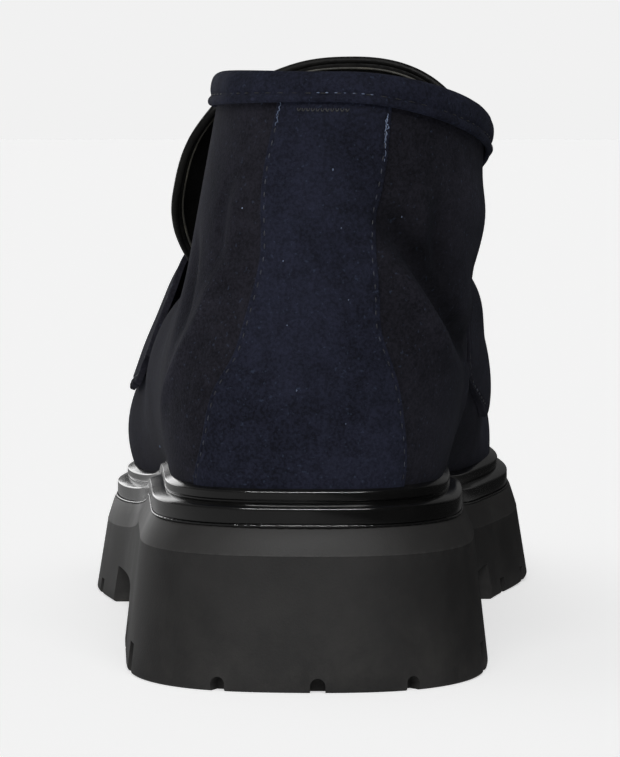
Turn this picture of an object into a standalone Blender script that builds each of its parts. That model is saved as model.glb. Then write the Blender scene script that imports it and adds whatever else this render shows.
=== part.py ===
"""Ankle-high suede loafer on a lugged rubber sole: the left shoe, as the pieces a shoemaker joins.

+Z is up, the toe points along +Y and the big-toe (medial) side is at +X. The origin is on the
floor, under the middle of the outsole's outline. Sizes below are in millimetres, and
`add_piece` turns them into metres as it writes each mesh.
"""

from typing import NamedTuple

import bmesh
import bpy
import numpy as np
from mathutils import Vector
from mathutils.bvhtree import BVHTree

MM = 0.001
GAP = 0.3
LATERAL, MEDIAL = -1, 1

# Driving sizes of the sole unit.
SOLE_LENGTH = 308.0
SOLE_WIDTH = 115.4
HEEL_AXIS_X = 7.2
HEEL_DECK_Z = 29.7
BALL_DECK_Z = 18.7
TOE_SPRING = 9.0
SPRING_START_Y = 50.0
MIDSOLE_HEIGHT = 6.1
LOW_STEP_HEIGHT = 3.6
WELT_HEIGHT = 7.5
STEP_GROOVE_WIDTH = 0.6
STEP_GROOVE_DEPTH = 0.4
EDGE_ROUNDING = 0.5
INSOLE_THICKNESS = 3.5

# Driving sizes of the upper.
UPPER_WALL = 2.2
TONGUE_THICKNESS = 2.2
STRAP_THICKNESS = 1.6
BINDING_THICKNESS = 1.5
BINDING_DROP = 8.0

# How finely the curved pieces are divided: stations from heel back to toe tip on each side,
# and levels from the feather edge to the topline. Facets need an extra clearance between layers.
SIDE_STATIONS = 44
UPPER_LEVELS = 12
FACET_EASE = 0.6


class OutlinePoint(NamedTuple):
    """A point of the ground outline, from the heel's back round the medial side."""

    x: float
    y: float


OUTLINE = (
    OutlinePoint(7.2, -154.0),
    OutlinePoint(32.6, -148.0),
    OutlinePoint(44.8, -131.5),
    OutlinePoint(48.8, -104.0),
    OutlinePoint(46.6, -50.0),
    OutlinePoint(45.8, 4.0),
    OutlinePoint(52.3, 53.0),
    OutlinePoint(57.7, 82.0),
    OutlinePoint(49.5, 122.0),
    OutlinePoint(15.0, 154.0),
    OutlinePoint(-25.0, 141.0),
    OutlinePoint(-50.5, 101.0),
    OutlinePoint(-58.4, 62.0),
    OutlinePoint(-49.8, 21.0),
    OutlinePoint(-40.5, -50.0),
    OutlinePoint(-35.2, -104.0),
    OutlinePoint(-29.6, -131.5),
    OutlinePoint(-16.8, -148.0),
)


class Inset(NamedTuple):
    """How far an edge of the sole lies inside the ground outline, at the heel and at the ball."""

    heel: float
    ball: float


WALL_TOP = Inset(3.3, 2.9)
MIDSOLE_TOP = Inset(6.1, 4.9)
LOW_STEP = Inset(6.0, 5.5)
HIGH_STEP = Inset(8.9, 8.2)
FEATHER = Inset(10.5, 10.3)
HEEL_END_Y = -80.0
BALL_START_Y = 20.0


class Topline(NamedTuple):
    """A place on the collar and throat edge, by its share of the way from heel back to toe tip."""

    share: float
    lateral_half: float
    medial_half: float
    y: float
    lateral_z: float
    medial_z: float


TOPLINE = (
    Topline(0.000, 0.0, 0.0, -138.0, 134.0, 134.0),
    Topline(0.085, 20.6, 21.8, -128.0, 134.4, 130.8),
    Topline(0.170, 29.2, 31.6, -104.0, 134.5, 126.0),
    Topline(0.250, 28.8, 32.0, -82.0, 134.0, 121.8),
    Topline(0.310, 25.8, 28.6, -67.0, 131.0, 117.5),
    Topline(0.360, 23.0, 25.0, -57.0, 122.0, 113.5),
    Topline(0.410, 19.5, 20.2, -49.0, 113.5, 110.0),
    Topline(0.460, 12.0, 12.2, -42.5, 108.0, 107.3),
    Topline(0.500, 0.0, 0.0, -40.0, 106.4, 106.4),
)


class Ridge(NamedTuple):
    """A place on the instep's ridge, from the throat to the toe's crown."""

    share: float
    x: float
    y: float
    z: float


RIDGE = (
    Ridge(0.50, 7.2, -40.0, 106.4),
    Ridge(0.57, 7.0, -14.0, 97.5),
    Ridge(0.64, 6.5, 20.0, 86.0),
    Ridge(0.71, 7.0, 54.0, 76.0),
    Ridge(0.78, 8.0, 85.0, 68.0),
    Ridge(0.86, 9.5, 104.0, 64.0),
)


class Slot(NamedTuple):
    """A notch or slot that runs in from the sole's bottom edge, by its share of the way round."""

    way: float
    width: float
    height: float
    depth: float


EDGE_SLOTS = (
    Slot(-0.160, 6.5, 7.0, 10.0),
    Slot(0.175, 6.5, 7.0, 10.0),
    Slot(-0.270, 6.5, 7.0, 10.0),
    Slot(0.270, 6.5, 7.0, 10.0),
    Slot(-0.610, 5.0, 4.0, 12.0),
    Slot(-0.680, 5.0, 4.0, 12.0),
    Slot(-0.750, 5.0, 4.0, 12.0),
    Slot(-0.820, 5.0, 4.0, 12.0),
    Slot(-0.890, 5.0, 4.0, 12.0),
    Slot(-0.960, 5.0, 4.0, 12.0),
    Slot(0.640, 5.0, 4.0, 12.0),
    Slot(0.710, 5.0, 4.0, 12.0),
    Slot(0.780, 5.0, 4.0, 12.0),
    Slot(0.850, 5.0, 4.0, 12.0),
    Slot(0.920, 5.0, 4.0, 12.0),
)
BACK_NOTCHES = (Slot(-0.052, 3.4, 3.2, 4.0), Slot(0.010, 3.4, 3.2, 4.0), Slot(0.072, 3.4, 3.2, 4.0))


class Groove(NamedTuple):
    """A straight groove across the tread's middle: its centre, length, width and turn in degrees."""

    x: float
    y: float
    length: float
    turn: float


GROOVES = (
    Groove(7.0, -130.0, 44.0, 0.0),
    Groove(7.0, -108.0, 50.0, 0.0),
    Groove(6.5, -86.0, 50.0, 0.0),
    Groove(1.0, 50.0, 62.0, 12.0),
    Groove(0.5, 70.0, 66.0, 12.0),
    Groove(0.5, 90.0, 62.0, 12.0),
    Groove(2.0, 110.0, 54.0, 12.0),
    Groove(5.0, 129.0, 36.0, 12.0),
)
GROOVE_WIDTH = 6.0
GROOVE_DEPTH = 5.0

# The arch: the waist's underside is raised between the heel breast and the slanted tread edge.
ARCH_HEIGHT = 9.4
HEEL_BREAST_Y = -62.0
TREAD_LATERAL_Y = 20.0
TREAD_MEDIAL_Y = 38.0
CUTTER_REACH = 80.0


class Lean(NamedTuple):
    """How far the ankle has slumped towards the medial side at a height."""

    z: float
    shift: float


LEAN = (Lean(50.0, 0.0), Lean(62.0, 0.4), Lean(87.0, 4.4), Lean(112.0, 6.8), Lean(136.0, 9.6))


class Bulge(NamedTuple):
    """How a section leaves the welt (low) and how it reaches the topline or the ridge (high)."""

    share: float
    lateral_low_out: float
    medial_low_out: float
    low_up: float
    high_out: float
    high_down: float


BULGES = (
    Bulge(0.00, 4.5, 4.5, 22.0, 3.5, 30.0),
    Bulge(0.16, 7.5, 7.5, 22.0, 0.5, 30.0),
    Bulge(0.30, 8.0, 10.0, 23.0, 2.0, 26.0),
    Bulge(0.40, 12.0, 15.0, 27.0, 10.5, 13.0),
    Bulge(0.48, 16.5, 20.5, 31.0, 26.0, 1.0),
    Bulge(0.58, 14.0, 12.5, 28.0, 29.0, 0.0),
    Bulge(0.70, 7.0, 6.0, 19.0, 31.0, 0.0),
    Bulge(0.80, 5.0, 5.5, 17.0, 30.0, 0.0),
    Bulge(0.90, 4.5, 4.5, 16.0, 30.0, 0.0),
    Bulge(1.00, 4.5, 4.5, 15.0, 29.0, 0.0),
)
SECTION_RAKE = 0.3


class StrapEdge(NamedTuple):
    """Rear and front edge of the saddle strap, by its distance from the instep's middle (0 to 1)."""

    across: float
    rear: float
    front: float


STRAP_EDGES = (
    StrapEdge(0.00, 0.545, 0.606),
    StrapEdge(0.25, 0.531, 0.594),
    StrapEdge(0.50, 0.519, 0.588),
    StrapEdge(1.00, 0.509, 0.607),
)
# The strap ends at a level of the upper, and stands off the upper's face by a small gap.
STRAP_END_LEVEL = 0.31
STRAP_FLANK_GAP = 0.35
# Below the tongue's edge the strap comes down to the upper over a ramp, in levels.
STRAP_RAMP_START = 0.06
STRAP_RAMP = 0.20

# The tongue's seated part, under the strap: its side edges' level, and how far, in shares,
# its foot lies inside the strap's front edge and its brim shows behind the rear edge.
TONGUE_SEATED_LEVEL = 0.56
TONGUE_SEATED_ROWS = 5
TONGUE_FOOT_INSIDE = 0.018
TONGUE_FOOT_CLEARANCE = 0.002
TONGUE_BRIM_OUTSIDE = 0.010
TONGUE_SEAT_GAP = 0.5


class TongueRow(NamedTuple):
    """A line across the tongue's outer face: its lateral edge, its middle and its medial edge."""

    lateral: tuple
    middle: tuple
    medial: tuple


TONGUE_ROWS = (
    TongueRow((-28.0, -50.0, 101.0), (13.6, -42.0, 115.5), (46.8, -49.0, 99.0)),
    TongueRow((-28.2, -58.0, 109.5), (14.3, -46.5, 124.0), (48.0, -54.0, 106.5)),
    TongueRow((-24.0, -64.0, 120.0), (14.9, -50.5, 132.5), (48.4, -57.5, 114.0)),
    TongueRow((-17.0, -67.0, 130.0), (15.4, -53.5, 141.0), (47.4, -60.0, 121.0)),
)
# Half the angle that the tongue wraps round the instep, and how its rows crowd towards the brim.
TONGUE_WRAP = np.radians(70)
TONGUE_CROWDING = 1.7
# A point counts as under the upper's face down to this depth, where it faces the face squarely.
SUNK_DEPTH = 8.0
SQUARE_ON = 0.7

# Where the collar binding ends on each side, and how far it turns down inside the collar.
BINDING_END = 0.325
BINDING_INNER_DROP = 6.0
# The step down in level that gives the upper's direction at its top edge.
RIM_STEP = 0.03


def smooth_step(x):
    x = np.clip(x, 0.0, 1.0)
    return x * x * (3 - 2 * x)


def spline(keys, values, at, flat_start=False, flat_end=False):
    """A smooth curve through the rows: each end either runs level or is left free."""
    keys, values = np.asarray(keys, float), np.asarray(values, float)
    count, step = len(keys), np.diff(keys)
    rise = np.diff(values) / step
    matrix, right = np.eye(count), np.zeros(count)
    for i in range(1, count - 1):
        matrix[i, i - 1 : i + 2] = step[i - 1], 2 * (step[i - 1] + step[i]), step[i]
        right[i] = 6 * (rise[i] - rise[i - 1])
    if flat_start:
        matrix[0, :2] = 2 * step[0], step[0]
        right[0] = 6 * rise[0]
    if flat_end:
        matrix[-1, -2:] = step[-1], 2 * step[-1]
        right[-1] = -6 * rise[-1]
    bend = np.linalg.solve(matrix, right)
    at = np.clip(at, keys[0], keys[-1])
    i = np.clip(np.searchsorted(keys, at, side="right") - 1, 0, count - 2)
    h, past, left = step[i], at - keys[i], keys[i + 1] - at
    curved = (bend[i] * left**3 + bend[i + 1] * past**3) / (6 * h)
    straight = (values[i] / h - bend[i] * h / 6) * left + (values[i + 1] / h - bend[i + 1] * h / 6) * past
    return curved + straight


def closed_outline(samples=720):
    """The ground outline as points and outward normals, from the heel's back round the medial side."""
    laps = 3
    points = np.array(list(OUTLINE) * laps + [OUTLINE[0]], float)
    chords = np.linalg.norm(np.diff(points, axis=0), axis=1)
    run = np.concatenate([[0], np.cumsum(chords)])
    start, end = run[len(OUTLINE)], run[2 * len(OUTLINE)]
    at = np.linspace(start, end, samples, endpoint=False)
    curve = np.stack([spline(run, points[:, k], at) for k in (0, 1)], axis=1)
    low, high = curve.min(axis=0), curve.max(axis=0)
    curve = (curve - (low + high) / 2) * np.array([SOLE_WIDTH, SOLE_LENGTH]) / (high - low)
    along = np.roll(curve, -1, axis=0) - np.roll(curve, 1, axis=0)
    normals = np.stack([along[:, 1], -along[:, 0]], axis=1)
    return curve, normals / np.linalg.norm(normals, axis=1, keepdims=True)


def side_tables():
    """For each side, (share, points, normals) from the heel's back to the toe's tip."""
    curve, normals = closed_outline()
    count = len(curve)
    heel, toe = np.argmin(curve[:, 1]), np.argmax(curve[:, 1])
    tables = {}
    for side in (LATERAL, MEDIAL):
        steps = (toe - heel) % count if side == MEDIAL else (heel - toe) % count
        index = (heel + side * np.arange(steps + 1)) % count
        run = np.linalg.norm(np.diff(curve[index], axis=0), axis=1)
        share = np.concatenate([[0], np.cumsum(run)]) / run.sum()
        turned = normals[index].copy()
        turned[0], turned[-1] = (0, -1), (0, 1)
        tables[side] = share, curve[index], turned
    return tables


SIDES = side_tables()


def outline_at(way):
    """Ground outline points and normals; `way` runs from -1, the toe, by the lateral side, to 1."""
    way = np.asarray(way, float)
    points, normals = np.zeros(way.shape + (2,)), np.zeros(way.shape + (2,))
    for side, (share, curve, outward) in SIDES.items():
        here = way < 0 if side == LATERAL else way >= 0
        for k in (0, 1):
            points[here, k] = np.interp(np.abs(way[here]), share, curve[:, k])
            normals[here, k] = np.interp(np.abs(way[here]), share, outward[:, k])
    return points, normals / np.linalg.norm(normals, axis=-1, keepdims=True)


def inset_edge(way, inset, extra=0.0):
    """Outline points moved in by a named inset, which changes between the heel and the ball."""
    points, normals = outline_at(way)
    ball_share = smooth_step((points[..., 1] - HEEL_END_Y) / (BALL_START_Y - HEEL_END_Y))
    depth = inset.heel + (inset.ball - inset.heel) * ball_share + extra
    return points - depth[..., None] * normals


def spring(y):
    """How far the toe lifts off the floor."""
    reach = SOLE_LENGTH / 2 - SPRING_START_Y
    return TOE_SPRING * np.clip((y - SPRING_START_Y) / reach, 0, None) ** 2


def deck(y):
    """Height of the outsole wall's top edge."""
    forward = smooth_step((y - HEEL_END_Y) / (BALL_START_Y + 25 - HEEL_END_Y))
    return HEEL_DECK_Z + (BALL_DECK_Z - HEEL_DECK_Z) * forward + spring(y)


def seat(y):
    """Height that the upper and insole stand at, just clear of the midsole."""
    return deck(y) + MIDSOLE_HEIGHT + GAP


def column(rows, name):
    return [getattr(row, name) for row in rows]


def upper_surface(way, level):
    """Outer face of the upper: level 0 is at the welt's top, 1 at the topline or ridge.

    Levels from -1 to 0 are the upright skirt inside the welt.
    """
    way, level = np.broadcast_arrays(np.asarray(way, float), np.asarray(level, float))
    share, medial = np.abs(way), way >= 0
    edge, normal = inset_edge(way, FEATHER), outline_at(way)[1]
    skirt = WELT_HEIGHT * np.clip(level, None, 0)
    base = np.concatenate([edge, (seat(edge[..., 1]) + WELT_HEIGHT)[..., None]], axis=-1)

    keys = column(TOPLINE, "share")
    lateral_x = HEEL_AXIS_X - spline(keys, column(TOPLINE, "lateral_half"), share)
    medial_x = HEEL_AXIS_X + spline(keys, column(TOPLINE, "medial_half"), share)
    collar_y = spline(keys, column(TOPLINE, "y"), share, True, True)
    collar_z = np.where(
        medial,
        spline(keys, column(TOPLINE, "medial_z"), share, True, True),
        spline(keys, column(TOPLINE, "lateral_z"), share, True, True),
    )
    ridge_keys = column(RIDGE, "share")
    ridge_x = spline(ridge_keys, column(RIDGE, "x"), share)
    ridge_y = spline(ridge_keys, column(RIDGE, "y"), share, flat_end=True)
    ridge_z = spline(column(RIDGE, "y"), column(RIDGE, "z"), ridge_y)
    slope = spline(column(RIDGE, "y"), column(RIDGE, "z"), ridge_y - 1) - ridge_z
    on_ridge = share >= RIDGE[0].share
    top = np.stack(
        [
            np.where(on_ridge, ridge_x, np.where(medial, medial_x, lateral_x)),
            np.where(on_ridge, ridge_y, collar_y),
            np.where(on_ridge, ridge_z, collar_z),
        ],
        axis=-1,
    )
    slope = slope * smooth_step((share - 0.4) / 0.1)

    keys = column(BULGES, "share")
    lateral_out, medial_out, low_up, high_out, high_down = (
        spline(keys, column(BULGES, name), share, True, True)[..., None] for name in Bulge._fields[1:]
    )
    low_out = np.where(medial[..., None], medial_out, lateral_out)
    across = top[..., :2] - base[..., :2]
    raked = across - (across * normal).sum(axis=-1, keepdims=True) * normal
    low_xy = base[..., :2] + low_out * normal + SECTION_RAKE * raked
    high_xy = top[..., :2] + high_out * normal - SECTION_RAKE * raked
    low = np.concatenate([low_xy, base[..., 2:] + low_up], axis=-1)
    sag = slope[..., None] * (high_xy[..., 1:] - top[..., 1:2])
    high = np.concatenate([high_xy, top[..., 2:] - sag - high_down], axis=-1)

    t = np.clip(level, 0, 1)[..., None]
    point = (1 - t) ** 3 * base + 3 * (1 - t) ** 2 * t * low + 3 * (1 - t) * t**2 * high + t**3 * top
    point[..., 0] += spline(column(LEAN, "z"), column(LEAN, "shift"), point[..., 2], flat_start=True)
    point[..., 2] += skirt
    return point


def upper_normal(way, level):
    """Outward unit normal of the upper's outer face."""
    small = 1e-4
    way, level = np.broadcast_arrays(np.asarray(way, float), np.asarray(level, float))
    before, after = np.clip(level - small, -1, 1), np.clip(level + small, 0, 1)
    up = upper_surface(way, after) - upper_surface(way, before)
    side = np.where(way < 0, -1.0, 1.0)
    share = np.abs(way)
    back, ahead = np.clip(share - small, 0, 1), np.clip(share + small, 0, 1)
    along = side[..., None] * (upper_surface(side * ahead, level) - upper_surface(side * back, level))
    normal = np.cross(along, up)
    return normal / np.linalg.norm(normal, axis=-1, keepdims=True)


def offset_upper(way, level, out):
    """A face that lies `out` outside the upper's outer face."""
    return upper_surface(way, level) + np.asarray(out)[..., None] * upper_normal(way, level)


def clear_scene():
    for obj in list(bpy.data.objects):
        bpy.data.objects.remove(obj)


def material(name, colour, roughness):
    made = bpy.data.materials.new(name)
    made.use_nodes = True
    shader = made.node_tree.nodes["Principled BSDF"]
    shader.inputs["Base Color"].default_value = (*colour, 1)
    shader.inputs["Roughness"].default_value = roughness
    made.diffuse_color = (*colour, 1)
    return made


def add_piece(name, points, faces, finish=None, smooth=True):
    """Makes an object from points in millimetres, welds its seams and turns its faces outwards."""
    mesh = bpy.data.meshes.new(name)
    mesh.from_pydata((np.asarray(points) * MM).tolist(), [], [list(face) for face in faces])
    soft = bmesh.new()
    soft.from_mesh(mesh)
    bmesh.ops.remove_doubles(soft, verts=soft.verts, dist=1e-6)
    bmesh.ops.recalc_face_normals(soft, faces=soft.faces)
    soft.to_mesh(mesh)
    soft.free()
    piece = bpy.data.objects.new(name, mesh)
    bpy.context.scene.collection.objects.link(piece)
    if finish:
        mesh.materials.append(finish)
    if smooth:
        mesh.shade_smooth()
        mesh.set_sharp_from_angle(angle=np.radians(40))
    return piece


def round_ways(stations):
    """Ways round the outline as one closed loop, and the loop's halves paired across the shoe."""
    share = np.linspace(0, 1, stations + 1)
    return np.concatenate([share, -share[-2:0:-1]])


def ring(way, inset, height, extra=0.0):
    """A closed edge of the sole: its inset outline at the deck's height plus `height`."""
    edge = inset_edge(way, inset, extra)
    return np.concatenate([edge, (deck(edge[:, 1]) + height)[:, None]], axis=1)


def stack(name, rings, finish, hollow=False):
    """A solid through a column of closed rings: capped, or closed on itself when hollow."""
    count = len(rings[0])
    half = count // 2
    points = np.concatenate(rings)
    faces = []
    pairs = list(zip(range(len(rings) - 1), range(1, len(rings))))
    if hollow:
        pairs.append((len(rings) - 1, 0))
    for low, high in pairs:
        for i in range(count):
            j = (i + 1) % count
            faces.append((low * count + i, low * count + j, high * count + j, high * count + i))
    if not hollow:
        for first in (0, (len(rings) - 1) * count):
            for i in range(half):
                other, next_other = (count - i) % count, (count - i - 1) % count
                across = (i, i + 1, next_other, other)
                faces.append(tuple(first + k for k in dict.fromkeys(across)))
    return add_piece(name, points, faces, finish)


def slab(name, inner, outer, finish):
    """A solid between two matching grids of points, closed round their edges."""
    rows, columns = inner.shape[:2]
    points = np.concatenate([inner.reshape(-1, 3), outer.reshape(-1, 3)])
    index = np.arange(rows * columns).reshape(rows, columns)
    far = index + rows * columns
    faces = []
    for grid in (index, far):
        for i in range(rows - 1):
            for j in range(columns - 1):
                faces.append((grid[i, j], grid[i + 1, j], grid[i + 1, j + 1], grid[i, j + 1]))
    rim = [index[0], index[:, -1], index[-1, ::-1], index[::-1, 0]]
    for edge in rim:
        for a, b in zip(edge[:-1], edge[1:]):
            faces.append((a, b, b + rows * columns, a + rows * columns))
    return add_piece(name, points, [tuple(int(k) for k in face) for face in faces], finish)


def upper_shares():
    """Stations of the upper on each side, one of them at the throat."""
    share = np.linspace(0, 1, SIDE_STATIONS + 1)
    share[np.argmin(np.abs(share - RIDGE[0].share))] = RIDGE[0].share
    return share


def upper_skin():
    """The upper's outer face from the foot of its skirt to its top edge, as (points, faces)."""
    share = upper_shares()
    way = np.concatenate([-share[::-1], share[1:]])
    level = np.concatenate([[-1], np.linspace(0, 1, UPPER_LEVELS + 1)])
    grid = upper_surface(way[:, None], level[None, :])
    rows, columns = grid.shape[:2]
    corners = [i * columns + j for i in range(rows - 1) for j in range(columns - 1)]
    faces = [(k, k + columns, k + columns + 1, k + 1) for k in corners]
    return grid.reshape(-1, 3), faces


def make_upper(finish):
    """The hollow shell: an open skin over the last, thickened inwards."""
    upper = add_piece("upper", *upper_skin(), finish)
    wall = upper.modifiers.new("wall", "SOLIDIFY")
    wall.thickness = UPPER_WALL * MM
    wall.offset = -1
    return upper


def make_outsole(way, finish):
    """Heel block, waist and forefoot, with the arch, the slots and the grooves cut out."""
    ground = inset_edge(way, Inset(EDGE_ROUNDING, EDGE_ROUNDING))
    lip = inset_edge(way, Inset(0.0, 0.0))
    lift = spring(ground[:, 1])[:, None]
    rings = [
        np.concatenate([ground, lift], axis=1),
        np.concatenate([lip, lift + EDGE_ROUNDING], axis=1),
        ring(way, WALL_TOP, -GAP / 2),
    ]
    outsole = stack("outsole", rings, finish)
    cut_away(outsole, "arch", [arch_block()])
    cut_away(outsole, "slots", [slot_box(slot) for slot in EDGE_SLOTS])
    cut_away(outsole, "grooves", [groove_box(groove) for groove in GROOVES])
    cut_away(outsole, "notches", [notch_round(notch) for notch in BACK_NOTCHES])
    return outsole


def prism(plan, low, high):
    """A straight-sided block over a plan outline, as (points, faces)."""
    count = len(plan)
    points = [(x, y, low) for x, y in plan] + [(x, y, high) for x, y in plan]
    sides = [(i, (i + 1) % count, count + (i + 1) % count, count + i) for i in range(count)]
    return points, sides + [tuple(range(count)), tuple(range(count, 2 * count))]


def arch_block():
    reach = CUTTER_REACH
    plan = (
        (-reach, HEEL_BREAST_Y),
        (reach, HEEL_BREAST_Y),
        (reach, TREAD_MEDIAL_Y),
        (-reach, TREAD_LATERAL_Y),
    )
    return prism(plan, -reach, ARCH_HEIGHT)


def slot_frame(slot):
    """The slot's place on the ground outline, with its directions along and into the sole."""
    point, normal = outline_at(np.array([slot.way]))
    along = np.array([-normal[0, 1], normal[0, 0]])
    return point[0], along, -normal[0]


def slot_box(slot):
    point, along, inward = slot_frame(slot)
    half, outside = along * slot.width / 2, point - inward * slot.depth
    inside = point + inward * slot.depth
    plan = (outside - half, outside + half, inside + half, inside - half)
    return prism(plan, -CUTTER_REACH, slot.height + spring(point[1]))


def notch_round(notch, sides=12):
    """A half-round notch: a level rod that runs in from the heel's back."""
    point, along, inward = slot_frame(notch)
    centre_z = notch.height - notch.width / 2
    turn = np.linspace(0, 2 * np.pi, sides, endpoint=False)
    points = []
    for place in (point - inward * notch.depth, point + inward * notch.depth):
        for angle in turn:
            x, y = place + along * np.cos(angle) * notch.width / 2
            above = centre_z if np.sin(angle) >= 0 else 0.0
            points.append((x, y, above + np.sin(angle) * notch.width / 2))
    faces = [(i, (i + 1) % sides, sides + (i + 1) % sides, sides + i) for i in range(sides)]
    return points, faces + [tuple(range(sides)), tuple(range(sides, 2 * sides))]


def groove_box(groove):
    turn = np.radians(groove.turn)
    along = np.array([np.cos(turn), np.sin(turn)]) * groove.length / 2
    wide = np.array([-np.sin(turn), np.cos(turn)]) * GROOVE_WIDTH / 2
    centre = np.array([groove.x, groove.y])
    plan = (centre - along - wide, centre + along - wide, centre + along + wide, centre - along + wide)
    return prism(plan, -CUTTER_REACH, GROOVE_DEPTH + spring(groove.y))


def cut_away(body, name, blocks):
    """Subtracts one hidden cutter, made of blocks that lie apart, from a body."""
    points, faces = [], []
    for block_points, block_faces in blocks:
        faces += [tuple(index + len(points) for index in face) for face in block_faces]
        points += block_points
    cutter = add_piece(f"cutter_{name}", np.array(points, float), faces, smooth=False)
    cutter.hide_render = True
    cutter.display_type = "WIRE"
    cut = body.modifiers.new(name, "BOOLEAN")
    cut.operation = "DIFFERENCE"
    cut.object = cutter


def make_midsole(way, finish):
    """The bevelled band between the outsole wall and the welt."""
    rings = [ring(way, WALL_TOP, GAP / 2), ring(way, MIDSOLE_TOP, MIDSOLE_HEIGHT)]
    return stack("midsole", rings, finish)


def make_welt(way, finish):
    """Two glossy steps round the upper's foot, parted by a small groove."""
    foot, head = MIDSOLE_HEIGHT + GAP, MIDSOLE_HEIGHT + GAP + WELT_HEIGHT
    ledge = foot + LOW_STEP_HEIGHT
    rings = [
        ring(way, LOW_STEP, foot),
        ring(way, LOW_STEP, ledge - EDGE_ROUNDING),
        ring(way, LOW_STEP, ledge, EDGE_ROUNDING),
        ring(way, HIGH_STEP, ledge, STEP_GROOVE_DEPTH),
        ring(way, HIGH_STEP, ledge + STEP_GROOVE_WIDTH),
        ring(way, HIGH_STEP, head - EDGE_ROUNDING),
        ring(way, HIGH_STEP, head, EDGE_ROUNDING),
        ring(way, FEATHER, head, -GAP),
        ring(way, FEATHER, foot, -GAP),
    ]
    return stack("welt", rings, finish, hollow=True)


def make_insole(way, finish):
    """The footbed, just clear of the upper's inner wall."""
    inside = UPPER_WALL + 2 * GAP
    foot = MIDSOLE_HEIGHT + GAP
    rings = [ring(way, FEATHER, foot, inside), ring(way, FEATHER, foot + INSOLE_THICKNESS, inside)]
    return stack("insole", rings, finish)


def clear_of_upper(grid, row_distances):
    """Moves a grid's points straight out from the upper where they lie nearer it than their row may."""
    skin, faces = upper_skin()
    tree = BVHTree.FromPolygons(skin.tolist(), faces)
    moved = grid.copy()
    for row, distance in zip(moved, row_distances):
        for index, point in enumerate(row):
            near, normal, _, far = tree.find_nearest(Vector(point))
            away = Vector(point) - near
            height = away.dot(normal)
            if abs(height) > SQUARE_ON * far and -SUNK_DEPTH < height < distance:
                row[index] = near + normal * distance
            elif far < distance:
                row[index] = near + away * distance / far
    return moved


def make_tongue(finish, free_rows=10, columns=19):
    """A curved flap: seated on the instep under the strap, standing clear of the throat above it."""
    across = np.linspace(-1, 1, columns)
    side = np.where(across < 0, -1.0, 1.0)
    reach = np.abs(across)
    level = 1 - reach * (1 - TONGUE_SEATED_LEVEL)
    rear, front = strap_edges((1 - level) / (1 - STRAP_END_LEVEL))
    foot, brim = front - TONGUE_FOOT_INSIDE, rear - TONGUE_BRIM_OUTSIDE
    distance = TONGUE_SEAT_GAP + TONGUE_THICKNESS
    sections = [
        offset_upper(side * (foot + part * (brim - foot)), level, np.full(columns, distance))
        for part in np.linspace(0, 1, TONGUE_SEATED_ROWS)
    ]
    angle = reach * TONGUE_WRAP
    sideways = np.sin(angle) / np.sin(TONGUE_WRAP)
    backwards = (1 - np.cos(angle)) / (1 - np.cos(TONGUE_WRAP))
    turn = np.stack([sideways, backwards, backwards], axis=1)
    for row in TONGUE_ROWS:
        middle = np.array(row.middle)
        edge = np.where(across[:, None] < 0, row.lateral, row.medial)
        sections.append(middle + (edge - middle) * turn)
    sections = np.array(sections)
    steps = np.linalg.norm(np.diff(sections[:, columns // 2], axis=0), axis=1)
    heights = np.concatenate([[0], np.cumsum(steps)])
    brim_height = heights[TONGUE_SEATED_ROWS - 1]
    crowded = np.linspace(0, 1, free_rows + 1)[1:] ** TONGUE_CROWDING
    at = brim_height + crowded * (heights[-1] - brim_height)
    free = np.stack(
        [
            np.stack([spline(heights, sections[:, j, k], at) for k in range(3)], axis=1)
            for j in range(columns)
        ],
        axis=1,
    )
    outer = np.concatenate([sections[:TONGUE_SEATED_ROWS], free])
    gaps = np.full(len(outer), TONGUE_SEAT_GAP)
    gaps[TONGUE_SEATED_ROWS:] += FACET_EASE
    outer = clear_of_upper(outer, gaps + TONGUE_THICKNESS)
    inner = clear_of_upper(outer - TONGUE_THICKNESS * grid_normals(outer), gaps)
    return slab("tongue", inner, outer, finish)


def grid_normals(grid):
    """Unit normals of a grid whose rows climb and whose columns run towards +X."""
    up, along = np.gradient(grid, axis=0), np.gradient(grid, axis=1)
    normal = np.cross(up, along)
    return normal / np.linalg.norm(normal, axis=-1, keepdims=True)


def strap_edges(reach):
    """Shares of the strap's rear and front edges at a distance from the instep's middle."""
    keys = column(STRAP_EDGES, "across")
    return [spline(keys, column(STRAP_EDGES, name), reach) for name in ("rear", "front")]


def make_strap(finish, stations=33, widths=9):
    """The saddle strap: a band of the upper's own face, lifted over the tongue at its middle."""
    across = np.linspace(-1, 1, stations)[:, None]
    reach = np.abs(across)
    rear, front = strap_edges(reach)
    share = rear + (front - rear) * np.linspace(0, 1, widths)[None, :]
    level = (1 - reach * (1 - STRAP_END_LEVEL)) * np.ones_like(share)
    beside_tongue = smooth_step((TONGUE_SEATED_LEVEL - STRAP_RAMP_START - level) / STRAP_RAMP)
    foot = front - TONGUE_FOOT_INSIDE + TONGUE_FOOT_CLEARANCE
    before_tongue = smooth_step((share - foot) / (front - foot))
    over_tongue = (1 - beside_tongue) * (1 - before_tongue)
    lift = STRAP_FLANK_GAP + (TONGUE_THICKNESS + TONGUE_SEAT_GAP + FACET_EASE) * over_tongue
    way = np.where(across < 0, -1.0, 1.0) * share
    inner = offset_upper(way, level, lift)
    outer = offset_upper(way, level, lift + STRAP_THICKNESS)
    return slab("saddle_strap", inner, outer, finish)


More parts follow.
